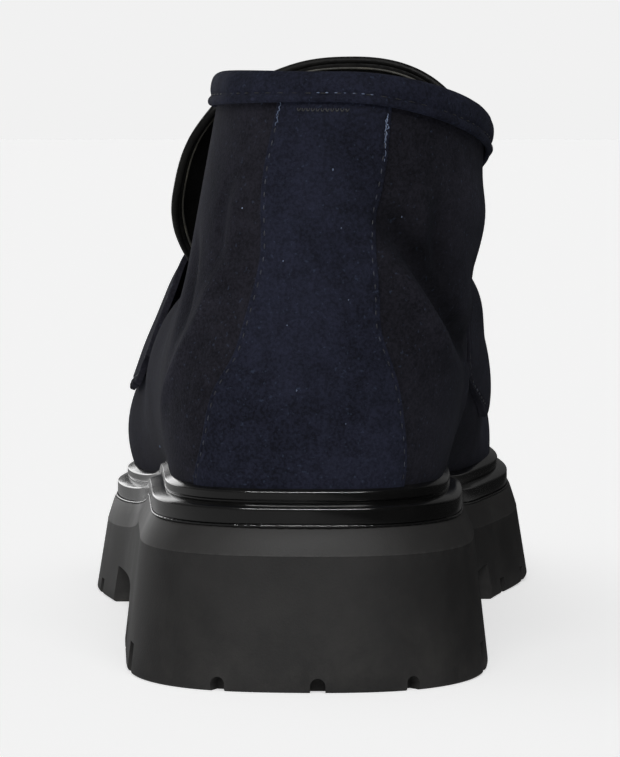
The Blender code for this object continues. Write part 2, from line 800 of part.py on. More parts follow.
def make_binding(finish):
    """A rolled band of U-shaped section that straddles the collar's edge, at the upper's stations."""
    share = upper_shares()
    share = share[share <= BINDING_END]
    way = np.concatenate([-share[:0:-1], share])
    stations = len(way)
    outside, inside = GAP + BINDING_THICKNESS, -(UPPER_WALL + GAP + FACET_EASE + BINDING_THICKNESS)
    section = (
        (GAP, -BINDING_DROP),
        (outside, -BINDING_DROP),
        (outside, 0.0),
        (GAP, GAP + BINDING_THICKNESS),
        (inside + BINDING_THICKNESS, GAP + BINDING_THICKNESS),
        (inside, 0.0),
        (inside, -BINDING_INNER_DROP),
        (inside + BINDING_THICKNESS, -BINDING_INNER_DROP),
        (inside + BINDING_THICKNESS, GAP),
        (GAP, GAP),
    )
    top = upper_surface(way, 1.0)
    up = top - upper_surface(way, 1.0 - RIM_STEP)
    rate = np.linalg.norm(up, axis=1) / RIM_STEP
    up /= np.linalg.norm(up, axis=1, keepdims=True)
    loops = np.array(
        [
            offset_upper(way, 1 + min(height, 0) / rate, np.full(stations, across)) + up * max(height, 0)
            for across, height in section
        ]
    )
    count = len(section)
    points = loops.transpose(1, 0, 2).reshape(-1, 3)
    faces = []
    for i in range(0, (stations - 1) * count, count):
        for k in range(count):
            j = (k + 1) % count
            faces.append((i + k, i + count + k, i + count + j, i + j))
    last = (stations - 1) * count
    faces += [tuple(range(count)), tuple(range(last, last + count))]
    return add_piece("collar_binding", points, faces, finish)


def main():
    clear_scene()
    suede = material("navy_suede", (0.012, 0.014, 0.026), 0.95)
    leather = material("black_leather", (0.012, 0.012, 0.013), 0.55)
    rubber = material("matte_black_rubber", (0.022, 0.021, 0.021), 0.6)
    gloss = material("glossy_black_rubber", (0.008, 0.008, 0.008), 0.2)
    way = round_ways(SIDE_STATIONS)
    make_outsole(way, rubber)
    make_midsole(way, rubber)
    make_welt(way, gloss)
    make_insole(way, leather)
    make_upper(suede)
    make_tongue(suede)
    make_strap(suede)
    make_binding(suede)


main()
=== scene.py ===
"""The finished look of a left ankle-high suede loafer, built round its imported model.

+Z is up, the toe points along +Y and the medial side is at +X. Sizes are in millimetres and turn
into metres as a mesh is laid, because the frame is in metres.
"""

import logging
import math
from collections.abc import Callable, Sequence
from dataclasses import dataclass, field
from enum import Enum
from functools import partial

import bmesh
import bpy
import numpy as np
from mathutils import Matrix, Vector
from mathutils.bvhtree import BVHTree


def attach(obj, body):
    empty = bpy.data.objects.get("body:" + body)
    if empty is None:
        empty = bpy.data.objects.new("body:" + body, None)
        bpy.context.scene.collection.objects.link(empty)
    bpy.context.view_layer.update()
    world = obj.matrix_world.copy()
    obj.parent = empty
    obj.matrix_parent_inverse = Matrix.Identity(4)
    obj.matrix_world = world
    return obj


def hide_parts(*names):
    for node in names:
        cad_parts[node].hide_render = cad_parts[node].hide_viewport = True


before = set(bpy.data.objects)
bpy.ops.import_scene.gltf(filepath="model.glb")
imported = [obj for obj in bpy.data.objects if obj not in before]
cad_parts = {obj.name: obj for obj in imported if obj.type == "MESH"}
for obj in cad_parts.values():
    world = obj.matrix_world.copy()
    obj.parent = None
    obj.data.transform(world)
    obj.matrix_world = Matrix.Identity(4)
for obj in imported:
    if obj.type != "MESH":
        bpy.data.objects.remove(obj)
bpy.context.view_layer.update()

LOG = logging.getLogger("loafer")
BODY = "root"
MM = 0.001
WELD = 2e-6
FOLD_HEIGHT = "fold_height"
EDGE_SHARP, SUEDE_SHARP, THREAD_SHARP = 50.0, 60.0, 80.0

Array = np.ndarray
Amount = np.ndarray | float
Form = bmesh.types.BMesh
Piece = bpy.types.Object
Material = bpy.types.Material
Node = bpy.types.Node
NodeTree = bpy.types.NodeTree
Socket = bpy.types.NodeSocket
Colour = tuple[float, float, float]
Spot = tuple[float, float, float]
Setting = Socket | float | tuple[float, ...]
Line = tuple[Array, Array]
Place = Callable[[Array, Array], Array]
Waves = tuple[Spot, ...]
UP = np.array([0.0, 0.0, 1.0])
TINY = 1e-9
SIDES = ("lateral", "medial")


class Edge(Enum):
    """Which long edge of the strap a line follows, by its column in the strap's table."""

    REAR = "rear"
    FRONT = "front"


# ---------------------------------------------------------------- curves and grids


def smooth_step(x: Array) -> Array:
    """An S-shaped rise from 0 to 1, clipped outside."""
    x = np.clip(x, 0.0, 1.0)
    return x * x * (3 - 2 * x)


def rounded(distance: Array, radius: float) -> Array:
    """Height, as a share, of a quarter-round edge at a distance in from it."""
    return np.sqrt(np.clip(1 - (1 - np.clip(distance / radius, 0, 1)) ** 2, 0, 1))


def crowded(count: int, crowding: float = 0.8) -> Array:
    """Values from 0 to 1 that stand closer together near both ends."""
    t = np.linspace(0, 1, count + 1)
    return t - crowding * np.sin(2 * np.pi * t) / (2 * np.pi)


def hump(distance: Array, width: float) -> Array:
    """A bell curve of height 1, by the distance from its middle."""
    return np.exp(-((distance / width) ** 2))


def ripple(at: Array, waves: Waves) -> Array:
    """A sum of waves, each given by its height, rate and phase."""
    return sum(height * np.sin(rate * at + phase) for height, rate, phase in waves)


def run_along(points: Array) -> Array:
    """Distance along a path from its start to each of its points."""
    return np.concatenate([[0], np.cumsum(np.linalg.norm(np.diff(points, axis=0), axis=1))])


def unit(vectors: Array) -> Array:
    """The same directions, one long."""
    return vectors / np.linalg.norm(vectors, axis=-1, keepdims=True)


def nearest_whole(values: Array) -> Array:
    """Values rounded to row numbers."""
    return np.rint(values).astype(int)


def paired(way: Array, level: Array) -> Line:
    """Both places as arrays of one shape."""
    return tuple(np.broadcast_arrays(np.asarray(way, float), np.asarray(level, float)))


def spline(
    keys: Sequence[float],
    values: Sequence[float],
    at: Array,
    flat_start: bool = False,
    flat_end: bool = False,
) -> Array:
    """A smooth curve through a table's rows.

    Args:
        keys: rising positions of the rows.
        values: the curve's value at each row.
        at: positions to read, held inside the table.
        flat_start: whether the curve starts level rather than free.
        flat_end: whether the curve ends level rather than free.

    Returns:
        The curve's values.
    """
    keys, values = np.asarray(keys, float), np.asarray(values, float)
    count, step = len(keys), np.diff(keys)
    rise = np.diff(values) / step
    matrix, right = np.eye(count), np.zeros(count)
    for i in range(1, count - 1):
        matrix[i, i - 1 : i + 2] = step[i - 1], 2 * (step[i - 1] + step[i]), step[i]
        right[i] = 6 * (rise[i] - rise[i - 1])
    if flat_start:
        matrix[0, :2] = 2 * step[0], step[0]
        right[0] = 6 * rise[0]
    if flat_end:
        matrix[-1, -2:] = step[-1], 2 * step[-1]
        right[-1] = -6 * rise[-1]
    bend = np.linalg.solve(matrix, right)
    at = np.clip(at, keys[0], keys[-1])
    i = np.clip(np.searchsorted(keys, at, side="right") - 1, 0, count - 2)
    h, past, left = step[i], at - keys[i], keys[i + 1] - at
    curved = (bend[i] * left**3 + bend[i + 1] * past**3) / (6 * h)
    straight = (values[i] / h - bend[i] * h / 6) * left
    return curved + straight + (values[i + 1] / h - bend[i + 1] * h / 6) * past


def read(rows: Sequence, key: str, name: str, at: Array, *level_ends: bool) -> Array:
    """One named column of a table of records, as a smooth curve over another column.

    Args:
        rows: the records.
        key: the column that rises from row to row.
        name: the column to read.
        at: positions to read.
        *level_ends: whether the curve starts level, and whether it ends level.

    Returns:
        The curve's values.
    """
    keys, values = ([getattr(row, column) for row in rows] for column in (key, name))
    return spline(keys, values, at, *level_ends)


def along_path(points: Array, count: int) -> Array:
    """A smooth path through a few points of any dimension.

    Args:
        points: the points, one a row.
        count: how many evenly spaced points the path gets.

    Returns:
        The path, one point a row.
    """
    points = np.asarray(points, float)
    run = run_along(points)
    at = np.linspace(0, run[-1], count)
    return np.stack([spline(run, points[:, k], at) for k in range(points.shape[1])], axis=1)


def lay_grid(
    form: Form, across: Array, along: Array, place: Place, flip: bool = False, finish: int = 0
) -> None:
    """Adds a grid to a mesh and lays it on a surface.

    Args:
        form: the mesh under construction.
        across: the first parameter's value for each column of vertices.
        along: the second parameter's value for each row of vertices.
        place: gives points in millimetres for arrays of both parameters.
        flip: whether the new faces are turned over.
        finish: which of the piece's materials the faces take.
    """
    columns, rows = len(across) - 1, len(along) - 1
    made = bmesh.ops.create_grid(form, x_segments=columns, y_segments=rows, size=0.5)["verts"]
    flat = np.array([vert.co[:2] for vert in made]) + 0.5
    column, row = nearest_whole(flat[:, 0] * columns), nearest_whole(flat[:, 1] * rows)
    points = place(np.asarray(across, float)[column], np.asarray(along, float)[row]) * MM
    for vert, point in zip(made, points):
        vert.co = point
    faces = {face for vert in made for face in vert.link_faces}
    for face in faces:
        face.material_index = finish
    if flip:
        bmesh.ops.reverse_faces(form, faces=list(faces))


def weld(form: Form) -> None:
    """Joins seams and drops faces without area."""
    bmesh.ops.remove_doubles(form, verts=form.verts, dist=WELD)
    bmesh.ops.dissolve_degenerate(form, edges=form.edges, dist=WELD / 4)


def close_up(form: Form) -> None:
    """Joins seams, fills what is still open and turns the faces outwards.

    Args:
        form: the mesh under construction.
    """
    weld(form)
    open_edges = [edge for edge in form.edges if edge.is_boundary]
    if open_edges:
        bmesh.ops.holes_fill(form, edges=open_edges, sides=0)
    bmesh.ops.recalc_face_normals(form, faces=form.faces)


def lay_tube(
    form: Form,
    path: Array,
    normals: Array,
    radius: Amount,
    sides: int = 6,
    closed: bool = False,
) -> None:
    """Adds a round cord along a path.

    Args:
        form: the mesh under construction.
        path: the cord's centre line, in millimetres.
        normals: a direction across the cord at each point of the path.
        radius: the cord's radius, at each point or everywhere.
        sides: faces round the cord.
        closed: whether the path runs into its own start.
    """
    count = len(path)
    size = np.broadcast_to(np.asarray(radius, float), (count,)).copy()
    if closed:
        tangent = np.roll(path, -1, axis=0) - np.roll(path, 1, axis=0)
        tangent[0] = tangent[-1] = path[1] - path[-2]
    else:
        tangent = np.gradient(path, axis=0)
        size *= rounded(np.minimum(np.arange(count), np.arange(count)[::-1]) + 0.0, 2.0)
    tangent = unit(tangent)
    side = unit(np.cross(tangent, normals))
    lift = np.cross(side, tangent)

    def place(angle: Array, station: Array) -> Array:
        """Points on the cord's skin."""
        i, angle = nearest_whole(station), angle[:, None]
        return path[i] + size[i][:, None] * (np.cos(angle) * side[i] + np.sin(angle) * lift[i])

    lay_grid(form, np.linspace(0, 2 * np.pi, sides + 1), np.arange(count), place)


def lay_sheet(
    form: Form, across: Array, along: Array, outer: Place, inner: Place, finish: int = 0
) -> None:
    """Adds a closed sheet with a face and a back that meet along its edges.

    Args:
        form: the mesh under construction.
        across: the first parameter's value for each column of vertices.
        along: the second parameter's value for each row of vertices.
        outer: gives the face's points.
        inner: gives the back's points.
        finish: which of the piece's materials the back takes.
    """
    lay_grid(form, across, along, outer)
    lay_grid(form, across, along, inner, flip=True, finish=finish)
    close_up(form)


def make_piece(
    name: str,
    form: Form,
    finishes: Sequence[Material],
    slot: str,
    replaces: Sequence[str] = (),
    sharp: float = THREAD_SHARP,
) -> Piece:
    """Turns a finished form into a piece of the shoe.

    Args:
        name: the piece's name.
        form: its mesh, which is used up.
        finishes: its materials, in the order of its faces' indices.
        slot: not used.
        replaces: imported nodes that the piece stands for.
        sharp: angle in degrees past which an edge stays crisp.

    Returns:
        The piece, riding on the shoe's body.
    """
    mesh = bpy.data.meshes.new(name)
    form.to_mesh(mesh)
    form.free()
    for finish in finishes:
        mesh.materials.append(finish)
    mesh.shade_smooth()
    mesh.set_sharp_from_angle(angle=math.radians(sharp))
    piece = bpy.data.objects.new(name, mesh)
    bpy.context.scene.collection.objects.link(piece)
    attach(piece, BODY)
    if replaces:
        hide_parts(*replaces)
    LOG.info("%s: %d faces", name, len(mesh.polygons))
    return piece


def mark_folds(piece: Piece, last: "Last") -> None:
    """Records how far each point of a piece lies on a fold's ridge (above 0) or in its hollow (below 0),
    which the suede uses for painted shade and painted light.

    Args:
        piece: a piece that lies on the last's creased face.
        last: the last.
    """
    points = np.empty(len(piece.data.vertices) * 3)
    piece.data.vertices.foreach_get("co", points)
    height = last.relief(points.reshape(-1, 3) / MM)
    piece.data.attributes.new(FOLD_HEIGHT, "FLOAT", "POINT").data.foreach_set("value", height)


def set_modifiers(piece: Piece) -> None:
    """Makes a piece's modifiers part of its mesh.

    Args:
        piece: the piece.
    """
    graph = bpy.context.evaluated_depsgraph_get()
    shaped = bpy.data.meshes.new_from_object(piece.evaluated_get(graph))
    plain = piece.data
    piece.modifiers.clear()
    piece.data = shaped
    bpy.data.meshes.remove(plain)
    shaped.name = piece.name


# ---------------------------------------------------------------- the last


@dataclass(frozen=True)
class Inset:
    """How far an edge of the sole lies inside the ground outline, at the heel and at the ball."""

    heel: float
    ball: float


@dataclass(frozen=True)
class TopPoint:
    """A place on the collar and throat edge, by its share of the way from heel back to toe tip."""

    share: float
    lateral_half: float
    medial_half: float
    y: float
    lateral_z: float
    medial_z: float


@dataclass(frozen=True)
class RidgePoint:
    """A place on the instep's ridge, from the throat to the toe's crown."""

    share: float
    x: float
    y: float
    z: float


@dataclass(frozen=True)
class Bulge:
    """How a section leaves the welt (low) and how it reaches the topline or the ridge (high)."""

    share: float
    lateral_low_out: float
    medial_low_out: float
    low_up: float
    high_out: float
    high_down: float


@dataclass(frozen=True)
class Fold:
    """A soft ridge (height above 0) or trough (below 0) in the upper, along (way, level) points."""

    path: tuple[tuple[float, float], ...]
    width: float
    height: float


OUTLINE = (
    (7.2, -154.0), (32.6, -148.0), (44.8, -131.5), (48.8, -104.0), (46.6, -50.0), (45.8, 4.0),
    (52.3, 53.0), (57.7, 82.0), (49.5, 122.0), (15.0, 154.0), (-25.0, 141.0), (-50.5, 101.0),
    (-58.4, 62.0), (-49.8, 21.0), (-40.5, -50.0), (-35.2, -104.0), (-29.6, -131.5), (-16.8, -148.0),
)
TOPLINE = (
    TopPoint(0.000, 0.0, 0.0, -138.0, 134.0, 134.0),
    TopPoint(0.085, 20.6, 21.8, -128.0, 134.4, 130.8),
    TopPoint(0.170, 29.2, 31.6, -104.0, 134.5, 126.0),
    TopPoint(0.250, 28.8, 32.0, -82.0, 134.0, 121.8),
    TopPoint(0.310, 25.8, 28.6, -67.0, 131.0, 117.5),
    TopPoint(0.360, 23.0, 25.0, -57.0, 122.0, 113.5),
    TopPoint(0.410, 19.5, 20.2, -49.0, 113.5, 110.0),
    TopPoint(0.460, 12.0, 12.2, -42.5, 108.0, 107.3),
    TopPoint(0.500, 0.0, 0.0, -40.0, 106.4, 106.4),
)
RIDGE = (
    RidgePoint(0.50, 7.2, -40.0, 106.4),
    RidgePoint(0.57, 7.0, -14.0, 97.5),
    RidgePoint(0.64, 6.5, 20.0, 86.0),
    RidgePoint(0.71, 7.0, 54.0, 76.0),
    RidgePoint(0.78, 8.0, 85.0, 68.0),
    RidgePoint(0.86, 9.5, 104.0, 64.0),
)
LEAN_Z = (50.0, 62.0, 87.0, 112.0, 136.0)
LEAN_SHIFT = (0.0, 0.4, 4.4, 6.8, 9.6)
BULGES = (
    Bulge(0.00, 4.5, 4.5, 22.0, 3.5, 30.0),
    Bulge(0.16, 7.5, 7.5, 22.0, 0.5, 30.0),
    Bulge(0.30, 8.0, 10.0, 23.0, 2.0, 26.0),
    Bulge(0.40, 12.0, 10.5, 27.0, 10.5, 13.0),
    Bulge(0.47, 16.0, 12.5, 31.0, 20.5, 2.0),
    Bulge(0.54, 14.6, 19.5, 30.0, 25.5, 0.0),
    Bulge(0.60, 12.6, 22.0, 29.0, 29.0, 0.0),
    Bulge(0.66, 9.6, 12.0, 26.0, 28.0, 0.0),
    Bulge(0.70, 7.0, 2.0, 19.0, 30.0, 0.0),
    Bulge(0.80, 5.0, 5.5, 17.0, 30.0, 0.0),
    Bulge(0.90, 4.5, 4.5, 16.0, 30.0, 0.0),
    Bulge(1.00, 4.5, 4.5, 15.0, 29.0, 0.0),
)
FOLDS = (
    # The ankle's main crease, down and forward from the heel seam, with the roll of suede under it.
    Fold(
        (
            (0.012, 0.77), (0.036, 0.705), (0.060, 0.645), (0.084, 0.58), (0.112, 0.51), (0.155, 0.44),
            (0.22, 0.39),
        ),
        3.4,
        -3.7,
    ),
    Fold(((0.045, 0.74), (0.080, 0.66), (0.115, 0.58), (0.160, 0.50)), 8.0, -2.2),
    Fold(((0.036, 0.63), (0.058, 0.575), (0.083, 0.505), (0.110, 0.43), (0.145, 0.35)), 3.4, 1.7),
    Fold(((0.096, 0.80), (0.102, 0.70), (0.110, 0.60), (0.125, 0.52)), 3.4, -1.6),
    Fold(((0.079, 0.80), (0.081, 0.70), (0.084, 0.62)), 2.4, 1.0),
    Fold(((0.150, 0.44), (0.210, 0.40), (0.270, 0.38)), 5.0, -1.8),
    Fold(((0.150, 0.64), (0.220, 0.59), (0.300, 0.57)), 7.0, -1.8),
    Fold(((0.190, 0.53), (0.270, 0.49), (0.350, 0.47)), 7.0, -1.6),
    Fold(((0.300, 0.42), (0.370, 0.26), (0.420, 0.12)), 7.0, -2.0),
    Fold(((0.370, 0.36), (0.440, 0.24), (0.500, 0.10)), 7.0, -1.8),
    Fold(((0.200, 0.42), (0.235, 0.28), (0.240, 0.12)), 3.2, 1.2),
    Fold(((0.430, 0.24), (0.500, 0.13), (0.560, 0.08), (0.620, 0.06)), 9.0, -2.0),
    Fold(((0.100, 0.84), (0.170, 0.78), (0.250, 0.75)), 7.0, 1.3),
    # Slack suede on the lateral quarter, and its lit ridge down the heel's corner.
    Fold(((-0.085, 0.80), (-0.098, 0.70), (-0.094, 0.60), (-0.110, 0.50)), 2.6, -0.8),
    Fold(((-0.075, 0.78), (-0.082, 0.68), (-0.080, 0.58)), 2.4, 0.6),
    Fold(
        ((-0.092, 0.63), (-0.096, 0.54), (-0.100, 0.46), (-0.118, 0.37), (-0.142, 0.27), (-0.18, 0.16)),
        3.4,
        1.3,
    ),
    Fold(((-0.158, 0.66), (-0.146, 0.56), (-0.140, 0.46), (-0.155, 0.36)), 4.2, -1.8),
    Fold(((-0.180, 0.56), (-0.240, 0.47), (-0.310, 0.42)), 5.0, -1.7),
    Fold(((-0.350, 0.68), (-0.410, 0.60), (-0.470, 0.50), (-0.500, 0.42)), 5.5, -2.8),
    Fold(((-0.200, 0.42), (-0.270, 0.34), (-0.340, 0.30)), 6.0, 1.0),
    # Flexing folds across the vamp, behind the toe.
    Fold(((-0.655, 0.55), (-0.650, 0.70), (-0.645, 0.85)), 4.5, -0.9),
    Fold(((0.640, 0.60), (0.650, 0.75), (0.655, 0.90)), 4.5, -0.9),
    Fold(((-0.690, 0.60), (-0.685, 0.78), (-0.680, 0.92)), 5.5, 0.7),
    Fold(((0.680, 0.62), (0.690, 0.80), (0.692, 0.92)), 5.5, 0.6),
)


@dataclass
class Last:
    """The shoe's form: its ground outline, its sole edges and the face of its upper."""

    length: float = 308.0
    width: float = 115.4
    heel_axis_x: float = 7.2
    heel_deck_z: float = 29.7
    ball_deck_z: float = 18.7
    heel_end_y: float = -80.0
    ball_start_y: float = 20.0
    deck_end_y: float = 45.0
    toe_spring: float = 9.0
    spring_start_y: float = 50.0
    midsole_height: float = 6.1
    welt_height: float = 7.5
    gap: float = 0.3
    rake: float = 0.3
    throat_blend: float = 0.1
    step: float = 1e-4
    highest: float = 0.998
    ridge_blend: float = 0.15
    toe_blend: float = 0.015
    fold_fade: float = 0.3
    fold_points: int = 30
    fold_spacing: float = 0.4
    fewest_samples: int = 8
    wall_top: Inset = Inset(3.3, 2.9)
    feather: Inset = Inset(10.5, 10.3)
    sides: dict[int, tuple[Array, Array, Array]] = field(default_factory=dict)

    def __post_init__(self) -> None:
        """Traces the closed outline once and keeps it as one table for each side."""
        laps, samples = 3, 1440
        points = np.array(list(OUTLINE) * laps + [OUTLINE[0]], float)
        run = run_along(points)
        start, end = run[len(OUTLINE)], run[2 * len(OUTLINE)]
        at = np.linspace(start, end, samples, endpoint=False)
        curve = np.stack([spline(run, points[:, k], at) for k in (0, 1)], axis=1)
        low, high = curve.min(axis=0), curve.max(axis=0)
        curve = (curve - (low + high) / 2) * np.array([self.width, self.length]) / (high - low)
        along = np.roll(curve, -1, axis=0) - np.roll(curve, 1, axis=0)
        normals = unit(np.stack([along[:, 1], -along[:, 0]], axis=1))
        heel, toe = np.argmin(curve[:, 1]), np.argmax(curve[:, 1])
        for side in (-1, 1):
            steps = (side * (toe - heel)) % samples
            index = (heel + side * np.arange(steps + 1)) % samples
            share = run_along(curve[index])
            outward = normals[index].copy()
            outward[0], outward[-1] = (0, -1), (0, 1)
            self.sides[side] = share / share[-1], curve[index], outward

    def outline(self, way: Array) -> Line:
        """Ground outline points and outward normals.

        Args:
            way: from -1, the toe tip, by the lateral side to the heel's back at 0, and on to 1.

        Returns:
            The points and their unit normals, each (..., 2).
        """
        way = np.asarray(way, float)
        points, normals = np.zeros(way.shape + (2,)), np.zeros(way.shape + (2,))
        for side, (share, curve, outward) in self.sides.items():
            here = way < 0 if side < 0 else way >= 0
            for k in (0, 1):
                points[here, k] = np.interp(np.abs(way[here]), share, curve[:, k])
                normals[here, k] = np.interp(np.abs(way[here]), share, outward[:, k])
        return points, unit(normals)

    def inset_edge(self, way: Array, heel: Amount, ball: Amount) -> Array:
        """Outline points moved inwards.

        Args:
            way: the place round the outline.
            heel: how far in at the heel, in millimetres.
            ball: how far in at the ball.

        Returns:
            The points, (..., 2).
        """
        points, normals = self.outline(way)
        forward = (points[..., 1] - self.heel_end_y) / (self.ball_start_y - self.heel_end_y)
        depth = heel + (np.asarray(ball) - heel) * smooth_step(forward)
        return points - depth[..., None] * normals

    def spring(self, y: Array) -> Array:
        """How far the toe lifts off the floor."""
        reach = self.length / 2 - self.spring_start_y
        return self.toe_spring * np.clip((y - self.spring_start_y) / reach, 0, None) ** 2

    def deck(self, y: Array) -> Array:
        """Height of the outsole wall's top edge."""
        forward = smooth_step((y - self.heel_end_y) / (self.deck_end_y - self.heel_end_y))
        return self.heel_deck_z + (self.ball_deck_z - self.heel_deck_z) * forward + self.spring(y)

    def surface(self, way: Array, level: Array) -> Array:
        """The upper's outer face before it creases.

        Args:
            way: the place round the outline, as in `outline`.
            level: 0 at the welt's top, 1 at the topline or ridge; down to -1 inside the welt.

        Returns:
            Points in millimetres, (..., 3).
        """
        way, level = paired(way, level)
        share, medial = np.abs(way), way >= 0
        edge, normal = self.inset_edge(way, self.feather.heel, self.feather.ball), self.outline(way)[1]
        foot_z = self.deck(edge[..., 1]) + self.midsole_height + self.gap + self.welt_height
        base = np.concatenate([edge, foot_z[..., None]], axis=-1)
        top, slope = self.top_edge(share, medial)
        lateral_out, medial_out, low_up, high_out, high_down = (
            read(BULGES, "share", name, share, True, True)[..., None]
            for name in ("lateral_low_out", "medial_low_out", "low_up", "high_out", "high_down")
        )
        low_out = np.where(medial[..., None], medial_out, lateral_out)
        across = top[..., :2] - base[..., :2]
        raked = across - (across * normal).sum(axis=-1, keepdims=True) * normal
        low_xy = base[..., :2] + low_out * normal + self.rake * raked
        high_xy = top[..., :2] + high_out * normal - self.rake * raked
        low = np.concatenate([low_xy, base[..., 2:] + low_up], axis=-1)
        sag = slope[..., None] * (high_xy[..., 1:] - top[..., 1:2])
        high = np.concatenate([high_xy, top[..., 2:] - sag - high_down], axis=-1)
        t = np.clip(level, 0, 1)[..., None]
        point = (1 - t) ** 3 * base + 3 * (1 - t) ** 2 * t * low + 3 * (1 - t) * t**2 * high + t**3 * top
        point[..., 0] += spline(LEAN_Z, LEAN_SHIFT, point[..., 2], flat_start=True)
        point[..., 2] += self.welt_height * np.clip(level, None, 0)
        return point

    def top_edge(self, share: Array, medial: Array) -> Line:
        """The collar, throat or ridge above a place on the outline.

        Args:
            share: the distance from the heel's back, 0 to 1.
            medial: whether the place is on the medial side.

        Returns:
            The top points, (..., 3), and the ridge's slope there.
        """
        lateral_half, medial_half = (read(TOPLINE, "share", f"{side}_half", share) for side in SIDES)
        lateral_z, medial_z, collar_y = (
            read(TOPLINE, "share", name, share, True, True) for name in ("lateral_z", "medial_z", "y")
        )
        collar_x = self.heel_axis_x + np.where(medial, medial_half, -lateral_half)
        ridge_y = read(RIDGE, "share", "y", share, False, True)
        ridge_z = read(RIDGE, "y", "z", ridge_y)
        slope = read(RIDGE, "y", "z", ridge_y - 1) - ridge_z
        collar = np.stack([collar_x, collar_y, np.where(medial, medial_z, lateral_z)], axis=-1)
        ridge = np.stack([read(RIDGE, "share", "x", share), ridge_y, ridge_z], axis=-1)
        top = np.where((share >= RIDGE[0].share)[..., None], ridge, collar)
        return top, slope * smooth_step((share - RIDGE[0].share) / self.throat_blend + 1)

    def side_normal(self, way: Array, level: Array) -> Array:
        """Outward unit normal of the upper's face, from its own side of the ridge.

        Args:
            way: the place round the outline.
            level: the upper's level.

        Returns:
            The normals, (..., 3).
        """
        level = np.minimum(level, self.highest)
        up = self.surface(way, np.maximum(level + self.step, 0)) - self.surface(way, level - self.step)
        side = np.where(way < 0, -1.0, 1.0)
        back, ahead = (np.clip(np.abs(way) + step, 0, 1) for step in (-self.step, self.step))
        along = self.surface(side * ahead, level) - self.surface(side * back, level)
        return unit(np.cross(side[..., None] * along, up))

    def normal(self, way: Array, level: Array) -> Array:
        """Outward unit normal of the upper's face, shared by both sides along the ridge.

        Args:
            way: the place round the outline.
            level: the upper's level.

        Returns:
            The normals, (..., 3).
        """
        way, level = paired(way, level)
        normal = self.side_normal(way, level)
        near_ridge = smooth_step((level - 1) / self.ridge_blend + 1) * (np.abs(way) >= RIDGE[0].share)
        share = np.maximum(near_ridge, smooth_step((np.abs(way) - 1) / self.toe_blend + 1))
        here = share > 0
        if here.any():
            both = unit(normal[here] + self.side_normal(-way[here], level[here]))
            normal[here] = unit(normal[here] * (1 - share[here, None]) + both * share[here, None])
        return normal

    def relief(self, points: Array) -> Array:
        """Height of all folds at points of the uncreased face.

        Args:
            points: places on the face, (..., 3).

        Returns:
            Heights along the normal, in millimetres.
        """
        flat = points.reshape(-1, 3)
        total = np.zeros(len(flat))
        for fold in FOLDS:
            keys = along_path(fold.path, self.fold_points)
            path = self.surface(keys[:, 0], keys[:, 1])
            length = run_along(path)[-1]
            samples = max(self.fewest_samples, int(length / (self.fold_spacing * fold.width)))
            path = along_path(path, samples)
            spacing = length / (len(path) - 1)
            reach = 3 * fold.width
            inside = ((flat > path.min(axis=0) - reach) & (flat < path.max(axis=0) + reach)).all(axis=1)
            ends = np.linspace(0, 1, len(path))
            fade = smooth_step(np.minimum(ends, 1 - ends) / self.fold_fade)
            apart = ((flat[inside][:, None] - path[None]) ** 2).sum(axis=2)
            share = spacing / (fold.width * math.sqrt(math.pi))
            total[inside] += fold.height * share * (np.exp(-apart / fold.width**2) * fade).sum(axis=1)
        return total.reshape(points.shape[:-1])

    def face(self, way: Array, level: Array, out: Amount = 0.0) -> Array:
        """The creased outer face, moved out by a distance."""
        height = self.relief(self.surface(way, level)) + out
        return self.stand_off(way, level, height)

    def stand_off(self, way: Array, level: Array, out: Amount) -> Array:
        """The uncreased outer face, moved out by a distance."""
        return self.surface(way, level) + np.asarray(out, float)[..., None] * self.normal(way, level)


# ---------------------------------------------------------------- materials


